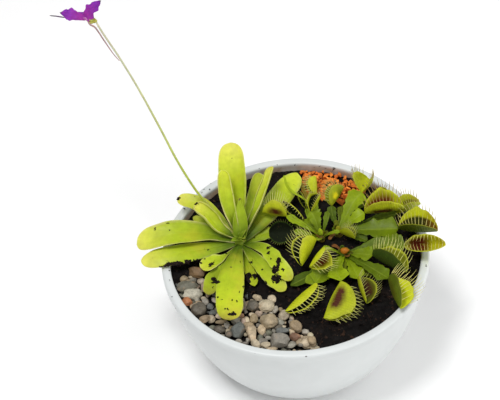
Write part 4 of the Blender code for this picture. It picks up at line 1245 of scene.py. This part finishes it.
def build_pebbles(outline, finish):
    """The stones that the photograph shows, in their places, and more in the gaps between them."""
    draw = random.Random(SEEDS["pebbles"])
    heap = Heap(0.8)
    pebbles = Form()

    def lay(where, size, turn, kind, top):
        place = heap.settle(where, (size[0] * size[1] * size[2]) ** (1 / 3) / 2, size[2], top)
        if place is None:
            return
        stone = moved(stone_shape(size, turn, kind in ANGULAR_STONES, 4 if size[0] > 9 else 3, draw), place)
        shade = draw.uniform(0.85, 1.12)
        tint = [part * shade * draw.uniform(0.98, 1.02) for part in STONE_COLOURS[kind]]
        pebbles.add(stone, stone_colour=(*tint, 1), buried=bury(stone))

    for x, y, wide, tall, turn, kind in sorted(STONES_SEEN, key=lambda stone: -stone[2] * stone[3]):
        length, breadth = wide / PIXELS_PER_MM, tall / PIXELS_PER_MM * 1.1
        size = (length, breadth, min(length, breadth) * draw.uniform(0.72, 0.86))
        lay(lambda height: under_pixel(x, y, height), size, turn, kind, HEAP_TOP)
    for tries, across in PEBBLE_FILLERS:
        for number in range(tries):
            x, y = (draw.uniform(*limits) for limits in PEBBLE_FIELD)
            wide = across * draw.uniform(0.85, 1.15)
            if not is_inside(outline, x, y) or edge_distance(outline, x, y) < wide * 0.5:
                continue
            size = [wide * draw.uniform(*limits) for limits in PEBBLE_SHARES]
            turn, kind = draw.uniform(0, 180), draw.choice(COMMON_STONES)
            lay(lambda height: above_soil((x, y, height)), size, turn, kind, HEAP_FLOOR + size[2] * 0.4 + 0.3)
    make_piece("river_pebbles", pebbles, finish, ["pebbles"], sharp=22)


def build_granules(outline, finish):
    """Crushed clay, in two or three layers of crumbs."""
    draw = random.Random(SEEDS["granules"])
    heap = Heap(0.78)
    granules = Form()
    for tries, across, top in GRANULE_FILLERS:
        for number in range(tries):
            x, y = (draw.uniform(*limits) for limits in GRANULE_FIELD)
            size = across * draw.uniform(0.65, 1.4)
            if not is_inside(outline, x, y) or math.hypot(x, y) + size * 0.5 > inner_radius(SOIL_LEVEL):
                continue
            place = heap.settle(lambda height: above_soil((x, y, height)), size / 2, size * 0.8, top)
            if place is None:
                continue
            stretch = [draw.uniform(*limits) for limits in GRANULE_SHARES]
            crumb = moved(rough_lump(size, stretch, draw.choice((9, 12, 16)), draw), place)
            granules.add(crumb, tone=draw.random(), buried=bury(crumb))
    piece = make_piece("crushed_clay", granules, finish, ["clay_granules"], sharp=30)
    worn = piece.modifiers.new("Worn edges", "BEVEL")
    worn.width = GRANULE_WEAR * MM
    worn.segments = 1
    worn.limit_method = "ANGLE"
    worn.angle_limit = math.radians(30)


# Leaves


def sheet_normals(rows):
    """The way that the upper face looks at each point of a sheet of rows."""
    found = []
    for before, row, after in zip([rows[0], *rows], rows, [*rows[1:], rows[-1]]):
        steps = zip(tangents(row), before, after)
        found += [across.cross(end - start).normalized() for across, start, end in steps]
    return found


def leaf_shell(rows, thickness):
    """A closed sheet with two faces and a rounded rim, from rows of middle points.

    The thickness is a number, or a rule for it by the share along and the place across. With the shape comes
    for each point its share, its place from -1 to 1, and its side: 1 on the upper face, 0 on the lower.
    """
    height, width = len(rows), len(rows[0])
    count = height * width
    border = grid_border(height, width)

    def middle(row, column):
        share, place = row / (height - 1), 2 * column / (width - 1) - 1
        half = (thickness(share, place) if callable(thickness) else thickness) / 2
        return rows[row][column], half, (share, place)

    sheet = [middle(row, column) for row in range(height) for column in range(width)]
    normals = sheet_normals(rows)
    points = [point + normal * half for (point, half, spot), normal in zip(sheet, normals)]
    points += [point - normal * half for (point, half, spot), normal in zip(sheet, normals)]
    spots = [(*spot, side) for side in (1.0, 0.0) for point, half, spot in sheet]
    for row, column in border:
        point, half, spot = middle(row, column)
        inner_row, inner_column = min(max(row, 1), height - 2), min(max(column, 1), width - 2)
        out = (point - rows[row][inner_column]).normalized() + (point - rows[inner_row][column]).normalized()
        points.append(point + out.normalized() * half)
        spots.append((*spot, 0.5))
    faces = []
    for a in (row * width + column for row in range(height - 1) for column in range(width - 1)):
        b = a + width
        faces += [(a, a + 1, b + 1, b), (a + count, b + count, b + 1 + count, a + 1 + count)]
    ring = [row * width + column for row, column in border]
    rim = range(2 * count, len(points))
    return (points, faces + band(rim, ring) + band([count + corner for corner in ring], rim)), spots


def blade_shares():
    """Shares along a blade, closer together where its tip rounds off."""
    below, at_tip = BLADE_ROWS
    found = [TIP_START * share for share in even_shares(below)]
    for step in range(1, at_tip + 1):
        found.append(TIP_START + (1 - TIP_START) * math.sin(step / at_tip * math.pi / 2 * 0.97))
    return found


def blade_half_width(widths, share):
    if share <= TIP_START:
        return on_curve(widths, share)
    past = (share - TIP_START) / (1 - TIP_START)
    straight = on_curve(widths, share) ** (1 - past) * on_curve(widths, TIP_START) ** past
    return straight * (1 - past**2.5) ** 0.5


def blade_section(curl, rolls):
    """Points (sideways, up) across a blade of half width 1 whose margins roll by the given angles."""
    halves = []
    for hand, roll in zip((-1, 1), rolls):
        side = up = 0.0
        half = []
        for step in range(BLADE_COLUMNS):
            share = (step + 0.5) / BLADE_COLUMNS
            angle = math.atan(4 * curl * share) + math.radians(roll) * ease(share, 0.62, 1.0)
            side += math.cos(angle)
            up += math.sin(angle)
            half.append((side, up))
        widest = max(place for place, lift in half)
        halves.append([(hand * place / widest, lift / widest) for place, lift in half])
    return halves[0][::-1] + [(0.0, 0.0)] + halves[1]


def leaf_line(crown, start_height, route):
    """A leaf's route, which starts just inside its crown's side on the way to its first point."""
    x, y, radius, top = CROWNS[crown]
    way = Vector((route[0][0] - x, route[0][1] - y)).normalized() * (radius - CROWN_SKIN)
    return [above_soil(point) for point in ((x + way.x, y + way.y, start_height), *route)]


def nicks(share, hand, seed, coarse, fine):
    """How uneven one margin of a leaf is, by coarse and fine waves along it."""
    return rough(share * coarse, hand * 3, seed) + rough(share * fine, hand, seed)


def blade_rows(points, width, face, curl, rolls, widths, seed, waviness=0.5, ragged=0.0):
    """The middle sheet of a strap-shaped leaf with a grooved midrib and margins that wave a little."""
    rows = []
    for share, point, way, side, up in spine_frames(points, blade_shares(), face):
        half = width / 2 * blade_half_width(widths, share)
        fade = ease(share, 0.0, 0.25) * (1 - 0.6 * ease(share, 0.85, 1.0))
        rows.append([])
        for aside, lift in blade_section(curl, [roll * fade for roll in rolls]):
            groove = 0.8 * math.exp(-((aside / 0.13) ** 2)) * (1 - share) * min(1.0, half / 4)
            wave = waviness * aside**2 * rough(share * 4.5, aside * 1.2, seed)
            swell = 0.5 * rough(share * 6, aside * 1.6, seed + 9)
            torn = ragged * nicks(share, math.copysign(1, aside), seed, 13, 29)
            reach = half * (1 + 0.3 * torn * abs(aside) ** 4)
            rows[-1].append(point + side * aside * reach + up * (lift * half - groove + wave + swell))
    return rows


def blade_thickness(share, place):
    return 1.5 * (1 - 0.45 * place * place) * (1 - 0.35 * share)


def build_butterwort_leaf(number, name, finish):
    start_height, route, width, face, curl, rolls, looks = BUTTERWORT_LEAVES[name]
    pale_tip, pale_margin, deep, ragged, brown = looks
    points = leaf_line("butterwort_crown", start_height, route)
    widths = STALKED_WIDTHS if name in STALKED_LEAVES else BLADE_WIDTHS
    leaf = Form()
    leaf.add_leaf(
        blade_rows(points, width, Vector(face).normalized(), curl, rolls, widths, number * 3.7, 0.8, ragged),
        blade_thickness,
        pale_tip=pale_tip,
        pale_margin=pale_margin,
        deep=deep,
        brown_tip=towards_tip(brown, 0.62, 1.0),
    )
    node = "butterwort_leaf_" + name
    make_piece("strap_leaf_" + name, leaf, finish, [node], smoothing=1)
    return leaf


def crown_stump(name, outline, sides):
    """A crown's low stump. Its outline is given by shares of its radius and depths below its top."""
    x, y, radius, height = CROWNS[name]
    profile = [(0, -CROWN_DEPTH), (radius, -CROWN_DEPTH)]
    profile += [(radius * share, height - depth) for share, depth in outline]
    return turned([(reach, SOIL_LEVEL + up) for reach, up in profile], sides, x, y)


def build_butterwort_crown(finish):
    """The rosette's heart: a low stem and its youngest leaves, still folded round each other."""
    x, y, radius, height = CROWNS["butterwort_crown"]
    crown = Form()
    stump = crown_stump("butterwort_crown", ((1, 5.5), (0.75, 4), (0.3, 3), (0, 2.8)), 24)
    # The stump gets the full deeper green and painted shade of the heart
    crown.add(stump, along=0.0, upper=1.0, deep=1.0)
    foot = above_soil((x, y, height - 6))
    young = [(above_soil(tip), width, Vector(face)) for tip, width, face in YOUNG_LEAVES]
    draw = random.Random(SEEDS["rosette"])
    for number in range(4):
        out = around(0.3 + number * NEXT_LEAF_TURN)
        tip = foot + out * draw.uniform(5, 8) + UP * draw.uniform(7, 11)
        young.append((tip, draw.uniform(3.5, 4.5), UP * 0.6 - out))
    for number, (tip, width, face) in enumerate(young):
        line = [foot, foot.lerp(tip, 0.5) + UP * 1.5, tip]
        # The heart's young leaves keep more of the painted base shade, as their lightening stops short of the
        # tip
        green_share, deep = (0.8, 0.7) if number == 0 else (0.35, 1.0)
        crown.add_leaf(
            blade_rows(line, width, face.normalized(), 0.22, (25, 25), LANCE_WIDTHS, 40 + number, 0.9),
            lambda share, place: blade_thickness(share, place) * 0.8,
            along=lambda share, place, side: share * green_share,
            pale_margin=0.1,
            deep=deep,
            brown_tip=towards_tip(1.0, 0.84, 1.0),
        )
    make_piece("rosette_heart", crown, finish, ["butterwort_crown"], smoothing=1)
    return crown


class Trap:
    """The shape of one trap between its neck and its tip."""

    def __init__(self, neck, tip, mouth, opening, depth, marks):
        self.neck = neck
        self.tip = tip
        self.along = (tip - neck).normalized()
        self.out = (mouth - self.along * mouth.dot(self.along)).normalized()
        self.side = self.along.cross(self.out).normalized()
        self.opening = opening
        self.depth = depth
        self.teeth = next(teeth for limit, teeth in TEETH if depth < limit)
        self.tooth_length = marks["tooth_length"]
        self.tooth_bend = marks["tooth_bend"]

    def leaning(self, degrees, hand):
        """The way out of the mouth that leans towards the right or the left lobe."""
        angle = math.radians(degrees)
        return self.out * math.cos(angle) + self.side * hand * math.sin(angle)

    def point(self, share, across):
        """A point of a lobe, by its share from neck to tip and from the hinge to -1 or 1 at the edge."""
        arch = math.sin(math.pi * share)
        place = self.neck.lerp(self.tip, share) - self.out * HINGE_SAG * (self.tip - self.neck).length * arch
        ripple = 0.14 * rough(share * 5.5, math.copysign(2, across), self.depth)
        reach = self.depth * max(arch, 0.0) ** LOBE_ROUNDNESS
        reach *= 1 + (0.025 * math.cos(TURN * self.teeth * share) + ripple) * abs(across) ** 3
        step = reach * abs(across) / LOBE_PIECES
        for piece in range(LOBE_PIECES):
            part = abs(across) * (piece + 0.5) / LOBE_PIECES
            bend = LOBE_CURVE * (1 - 2 * part) + 14 * ease(part, 0.8, 1.0)
            place += self.leaning(self.opening + bend, math.copysign(1, across)) * step
        return place

    def tooth(self, share, hand, draw):
        """A tooth's root, middle and end: it goes on from the lobe's edge and bends in over the mouth."""
        root = self.point(share, hand * 0.985)
        at_neck, more = TOOTH_LENGTH
        length = self.depth * self.tooth_length * (at_neck + more * math.sin(math.pi * share))
        half = length * draw.uniform(0.86, 1.1) / 2
        fan = self.along * (share - 0.5) * draw.uniform(0.6, 0.9)
        at_root, at_end = TOOTH_LEANS
        leans = (self.opening - at_root, self.opening - at_end + draw.uniform(-8, 8))
        ways = [(self.leaning(lean - self.tooth_bend, hand) + fan).normalized() for lean in leans]
        middle = root + ways[0] * half
        return root, middle, middle + ways[1] * half


def tooth_body(root, middle, end, thickness):
    line = bent_line(root, middle, end, (0, 0.3, 0.65, 1.0))
    return tube(line, [thickness * size for size in (0.62, 0.42, 0.27, 0.1)], 5)


def trigger_hair(root, end):
    return tube([root, root.lerp(end, 0.6), end], (0.14, 0.1, 0.05), 4)


def wing_rows(points, width, seed, slimmest=0.9):
    """The middle sheet of a winged stalk: folded along its rib, with waved and nicked margins."""
    length, breadth = WING_GRID
    rows = []
    for share, point, way, side, up in spine_frames(points, even_shares(length), WING_FACE):
        half = max(width * on_curve(STALK_WIDTHS, share) / 2, slimmest)
        rows.append([])
        for place in places_across(breadth):
            hand = math.copysign(1, place)
            reach = half * (1 + 0.36 * nicks(share, hand, seed, 15, 47) * abs(place) ** 5)
            wave = 0.13 * half * math.sin(share * 15 + hand + seed) * place * place
            lift = 0.3 * half * abs(place) ** 1.4 + wave - 0.25 * math.exp(-((place / 0.2) ** 2))
            rows[-1].append(point + side * place * reach + up * lift)
    return rows


def gold_spot(share, place, side):
    """The round yellow patch on the outside of one trap's lobes."""
    return (1 - ease(math.hypot((share - 0.4) * 1.4, abs(place) - 0.45), 0.16, 0.26)) * (side < 0.5)


def add_lobes(leaf, trap, marks, looks):
    """Adds both lobes as one sheet that is bent at the hinge."""
    red, dusk, inside, outside, blush = looks
    length, breadth = LOBE_GRID
    shares = [0.02 + 0.96 * share for share in even_shares(length)]

    def coloured(amount):
        return lambda share, place, side: amount * (1 - marks["green_tip"] * ease(share, 0.45, 0.75))

    leaf.add_leaf(
        [[trap.point(share, place) for place in places_across(breadth)] for share in shares],
        lambda share, place: 1.0 - 0.25 * abs(place),
        # Painted light on the lobes, one value inside and one outside
        bright=lambda share, place, side: outside + (inside - outside) * side,
        lobe=1.0,
        blush=blush,
        red=coloured(red),
        dusk=coloured(dusk),
        rim=marks["rim"],
        orange=lambda share, place, side: marks["orange"] * side * ease(share, 0.55, 0.95),
        gold=lambda share, place, side: marks["gold"] * gold_spot(share, place, side),
    )


def build_flytrap_leaf(number, name, finish):
    """A winged stalk with its trap, the teeth on the lobes' edges, and the trigger hairs inside them."""
    crown, start_height, route, width, tip, mouth, opening, depth, looks = FLYTRAP_LEAVES[name]
    red, dusk, inside, outside, stalk, blush = looks
    marks = {**PLAIN_TRAP, **ODD_TRAPS.get(name, {})}
    draw = random.Random(SEEDS["traps"] + number)
    line = leaf_line("flytrap_crown_" + crown, start_height, route)
    leaf = Form()
    rows = wing_rows(line, width, number * 5.3)
    # Painted light on the stalk, with painted shade growing towards the crown
    leaf.add_leaf(rows, 0.9, bright=lambda share, place, side: stalk * (0.55 + 0.45 * share))
    trap = Trap(line[-1], above_soil(tip), Vector(mouth), opening, depth, marks)
    add_lobes(leaf, trap, marks, (red, dusk, inside, outside, blush))
    for hand in (-1, 1):
        for tooth in range(trap.teeth):
            share = 0.04 + 0.92 * (tooth + 0.5) / trap.teeth
            body = tooth_body(*trap.tooth(share, hand, draw), 0.5 + 0.012 * depth)
            # Teeth take the painted light of the lobes' inside
            leaf.add(body, bright=max(inside, 0.2), lobe=1.0, tooth=1.0, russet=marks["russet"])
        for share, place in TRIGGER_HAIRS:
            root = trap.point(share, hand * place)
            inward = (trap.point(share, -hand * place) - root).normalized()
            hair = trigger_hair(root, root + inward * TRIGGER_HAIR_LENGTH)
            # Trigger hairs take half the painted light of the lobes' inside
            leaf.add(hair, tooth=0.6, bright=inside * 0.5)
    make_piece("trap_leaf_" + name, leaf, finish, ["flytrap_leaf_" + name], smoothing=1)
    return leaf


def bud_body(foot, tip, radius, seed):
    """A plump bud with shallow folds, widest below its middle."""
    shares = even_shares(12)
    swell = [math.sin(math.pi * (0.12 + 0.86 * share)) ** 0.8 * (1.15 - 0.5 * share) for share in shares]
    body, faces = tube(smooth_route([foot, tip], shares), [radius * share for share in swell], 16)
    centre = foot.lerp(tip, 0.5)
    folds = [0.16 * noise.noise(point * 0.45 + Vector((seed, 0, 0))) for point in body]
    return [point + (point - centre) * fold for point, fold in zip(body, folds)], faces


def build_flytrap_crown(where, tilt, finish):
    """A growing point: a low stump with its scale leaves, its bud, and its young and withered shoots."""
    name = "flytrap_crown_" + where
    x, y, radius, height = CROWNS[name]
    draw = random.Random(SEEDS["crowns"] + int(x))
    crown = Form()
    stump = crown_stump(name, ((0.9, 3.5), (0.55, 2), (0, 1.6)), 20)
    # Low painted light: the stump is painted in shade
    crown.add(stump, bright=0.1, upper=1.0, withered=0.5)
    for number in range(8):
        out = around(tilt + number * NEXT_LEAF_TURN)
        foot = above_soil((x, y, 0.5)) + out * radius * 0.6
        tall = height + draw.uniform(-3, 1.5)
        line = [foot, foot + out * radius * 0.4 + UP * tall * 0.55]
        line.append(foot + out * radius * draw.uniform(0.3, 1.2) + UP * tall)
        face = (UP * 0.35 - out).normalized()
        rows = blade_rows(line, radius * 0.75, face, 0.3, (30, 30), BLADE_WIDTHS, number + x, 0.3)
        dry = draw.choice((0.0, 0.2, 0.7))
        # Scale leaves get a low painted light: painted shade low in the crown
        crown.add_leaf(rows, 0.9, bright=draw.uniform(0.05, 0.28), withered=dry)
    for number, (owner, route, width, bright, dry) in enumerate(SHOOTS):
        if owner == where:
            rows = wing_rows(leaf_line(name, 2, route), width, number * 2.9, 0.6)
            crown.add_leaf(rows, 0.8, bright=bright, withered=dry)
    for number, (owner, foot, tip, width, bright, orange) in enumerate(BUDS):
        if owner == where:
            bud = bud_body(above_soil(foot), above_soil(tip), width, number * 5)
            crown.add(bud, along=0.5, upper=1.0, bright=bright, orange=orange)
    make_piece(name + "_heart", crown, finish, [name], smoothing=1)
    return crown


# Flower


def square_to(way, angle):
    """A direction square to a way, turned about it by an angle."""
    out = way.orthogonal().normalized()
    out.rotate(Matrix.Rotation(angle, 3, way))
    return out


def build_flower_stalk(finish):
    """The stalk with its fine hairs, and the calyx that holds the flower."""
    draw = random.Random(SEEDS["flower_stalk"])
    stalk = Form()
    shares = even_shares(70)
    route = smooth_route(leaf_line("butterwort_crown", 7.4, STALK_ROUTE), shares)
    even = tapered(STALK_RADIUS, shares)
    radii = [radius * (1 + 0.06 * noise.noise(point * 0.25)) for radius, point in zip(even, route)]
    along = [share for share in shares for side in range(STALK_SIDES)]
    stalk.add(tube(route, radii, STALK_SIDES), along=along)
    for hair in range(STALK_HAIRS):
        index = draw.randrange(4, len(route) - 1)
        out = square_to((route[index + 1] - route[index - 1]).normalized(), draw.uniform(0, TURN))
        root = route[index].lerp(route[index - 1], draw.random()) + out * radii[index] * 0.9
        end = root + out * draw.uniform(0.5, 0.9)
        stalk.add(tube([root, end], (0.07, 0.05), 3), along=shares[index])
    top, mouth = route[-1], above_soil(FLOWER_FOOT)
    ahead = (mouth - top).normalized()
    cup = [top - ahead * 1.2, top + ahead * 0.2, top + ahead * 1.6, mouth - ahead * 0.2]
    cup = smooth_route(cup, even_shares(len(CALYX_RADII)))
    stalk.add(tube(cup, CALYX_RADII, 14), along=1.0, sepal=1.0)
    for number in range(SEPALS):
        out = square_to(ahead, 0.4 + number * TURN / SEPALS)
        foot = top + ahead * 0.8 + out * 0.9
        tip = mouth + ahead * 1.8 + out * 2.9
        line = [foot, foot.lerp(tip, 0.5) + out * 0.9, tip]
        rows = blade_rows(line, 2.4, -out, 0.3, (10, 10), BLADE_WIDTHS, number, 0.1)
        stalk.add_leaf(rows, 0.5, along=1.0, sepal=0.9)
    make_piece("hairy_flower_stalk", stalk, finish, ["flower_stalk"], sharp=60)


def petal_rows(foot, tip, face, width, bend, fullest, base, seed):
    """The middle sheet of a petal with a frilled, notched end."""
    widths = [(0, base), (fullest / 2, (1 + base) / 2), (fullest, 1.0), ((1 + fullest) / 2, 0.82)]
    widths += [(0.95, 0.36), (1.0, 0.1)]
    line = [foot, foot.lerp(tip, 0.5) + bend, tip]
    length, breadth = PETAL_GRID
    rows = []
    for share, point, way, side, up in spine_frames(line, even_shares(length), face):
        rows.append([])
        for place in places_across(breadth):
            uneven = rough(share * 7.5, math.copysign(2, place), seed) * place**2 * ease(share, 0.1, 0.4)
            half = width * on_curve(widths, share) / 2 * (1 + 0.7 * uneven)
            notch = 1.5 * rough(place * 3.3, seed, 4) * share**4 - 0.8 * place * place * share**3
            frill = 0.9 * rough(share * 3.5, place * 2.6, seed) * share
            rows[-1].append(point + side * place * half + way * notch + face * frill)
    return rows


# Painted shade on the sides and end of the petal seen almost edge-on
def dark_sides(share, place, side):
    return max(ease(abs(place), 0.45, 0.85), ease(share, 0.8, 0.95))


def build_flower(finish):
    """The violet petals, the pink tube behind them, and the thin spur that bends back to the stalk."""
    foot, mouth = above_soil(FLOWER_FOOT), above_soil(FLOWER_MOUTH)
    flower = Form()
    shares = even_shares(len(THROAT_RADII))
    throat = smooth_route([foot, foot.lerp(mouth, 0.5), mouth], shares)
    flower.add(tube(throat, THROAT_RADII, 16), tube=[1.0 - share for share in shares for side in range(16)])
    shares = even_shares(28)
    spur = smooth_route([foot.lerp(mouth, 0.5), *map(above_soil, SPUR_ROUTE)], shares)
    flower.add(tube(spur, tapered(SPUR_RADIUS, shares), 10), spur=1.0)
    for number, (tip, face, width, bend, fullest, base) in enumerate(PETALS):
        line_ends = mouth.lerp(foot, 0.35), above_soil(tip)
        face = Vector(face).normalized()
        rows = petal_rows(*line_ends, face, width, Vector(bend), fullest, base, number * 4.1)
        dark = dark_sides if number == DARK_PETAL else towards_tip(1.0, 0.93, 1.0)
        flower.add_leaf(rows, lambda share, place: 0.8 - 0.3 * share, dark=dark)
    make_piece("violet_flower", flower, finish, ["flower"], smoothing=1)


# Loose bits


def catching_surface(forms):
    """A search tree of the surfaces that bits of soil can lie on."""
    whole = Form()
    for form in forms:
        whole.add((form.points, form.faces))
    return BVHTree.FromPolygons(whole.points, whole.faces)


def fallen_crumb(place, normal, size, draw):
    points, faces = rough_lump(size, (1.3, 1.1, 0.5), 10, draw)
    lean = UP.rotation_difference(normal)
    return [lean @ point + place + normal * size * 0.08 for point in points], faces


def fallen_fibre(place, normal, draw):
    way = any_way(draw)
    line = [place + way * step + normal * (0.3 + 0.5 * step) for step in (0, 1.2, 2.6)]
    return tube(line, (0.22, 0.2, 0.1), 4)


def scatter_soil_bits(name, clumps, surface, sizes, finish):
    """Crumbs and a few fibres on the surface that each clump's pixels show."""
    draw = random.Random(SEEDS[name])
    bits = Form()
    for x, y, wide, tall in clumps:
        area = wide * tall
        heaps = [(draw.uniform(-0.42, 0.42), draw.uniform(-0.42, 0.42)) for heap in range(5)]
        crumbs, fibres = max(4, round(area * CRUMBS_PER_PIXEL)), round(area / PIXELS_PER_FIBRE)
        for number in range(crumbs + fibres):
            right, down = (part + draw.gauss(0, 0.12) for part in draw.choice(heaps))
            way = sight_line(x + right * wide, y + down * tall)
            place, normal = surface.ray_cast(CAMERA_PLACE, way)[:2]
            if place is None:
                continue
            if number < crumbs:
                size = draw.uniform(*sizes) * min(1.5, 0.7 + area / 40)
                bits.add(fallen_crumb(place, normal, size, draw), tone=0.25 * draw.random())
            else:
                bits.add(fallen_fibre(place, normal, draw), tone=draw.uniform(0.2, 0.8))
    make_piece(name, bits, finish, sharp=35)


# Room


def build_floor():
    """A plain pale floor."""
    mesh = bpy.data.meshes.new("Floor")
    corners = [(x * FLOOR_HALF, y * FLOOR_HALF, 0) for x, y in ((-1, -1), (1, -1), (1, 1), (-1, 1))]
    mesh.from_pydata(corners, [], [(0, 1, 2, 3)])
    finish = Finish("Pale floor", (0.97, 0.97, 0.97), Specular_IOR_Level=0.1, Roughness=0.9)
    finish.mottle(2.0, 0.01)
    finish.feed(finish.shader["Base Color"], finish.colour)
    mesh.materials.append(finish.material)
    floor = place_object("Floor", mesh)
    floor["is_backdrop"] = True


def hang_lamp(name, place, size, power):
    """A square soft lamp that looks at the bowl."""
    data = bpy.data.lights.new(name, "AREA")
    data.shape = "SQUARE"
    data.size = size
    data.energy = power
    lamp = place_object(name, data)
    lamp.location = place
    lamp.rotation_euler = (LAMPS_LOOK_AT - Vector(place)).to_track_quat("-Z", "Y").to_euler()


def light_room():
    world = bpy.data.worlds.new("Room")
    world.use_nodes = True
    sky = world.node_tree.nodes["Background"]
    sky.inputs["Color"].default_value = (1, 1, 1, 1)
    sky.inputs["Strength"].default_value = ROOM_LIGHT
    bpy.context.scene.world = world
    bpy.context.scene.view_settings.view_transform = "Standard"
    for lamp in LAMPS:
        hang_lamp(*lamp)


def write_sizes():
    boxes = {"cad": CAD_BOX, "visual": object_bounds()}
    {name: [list(low), list(high)] for name, (low, high) in boxes.items()}


def build_all():
    peat = make_peat()
    beds = [bed_outline(PEBBLE_EDGE, PEBBLE_ARC), bed_outline(GRANULE_EDGE, GRANULE_ARC)]
    bowl = build_bowl(make_bowl_glaze())
    build_soil(beds, peat)
    build_pebbles(beds[0], make_river_stone())
    build_granules(beds[1], make_fired_clay())
    butterwort_skin = make_butterwort_skin()
    leaves = [build_butterwort_crown(butterwort_skin)]
    for number, name in enumerate(BUTTERWORT_LEAVES):
        leaves.append(build_butterwort_leaf(number, name, butterwort_skin))
    build_flower_stalk(make_stalk_skin())
    build_flower(make_petal_skin())
    flytrap_skin = make_flytrap_skin()
    for number, where in enumerate(("rear", "front", "left")):
        leaves.append(build_flytrap_crown(where, number * 0.9, flytrap_skin))
    for number, name in enumerate(FLYTRAP_LEAVES):
        leaves.append(build_flytrap_leaf(number, name, flytrap_skin))
    scatter_soil_bits("soil_on_leaves", SOIL_ON_LEAVES, catching_surface(leaves), LEAF_BIT_SIZES, peat)
    scatter_soil_bits("soil_on_rim", SOIL_ON_RIM, catching_surface([bowl]), RIM_BIT_SIZES, peat)


place_camera()
light_room()
build_floor()
build_all()
write_sizes()
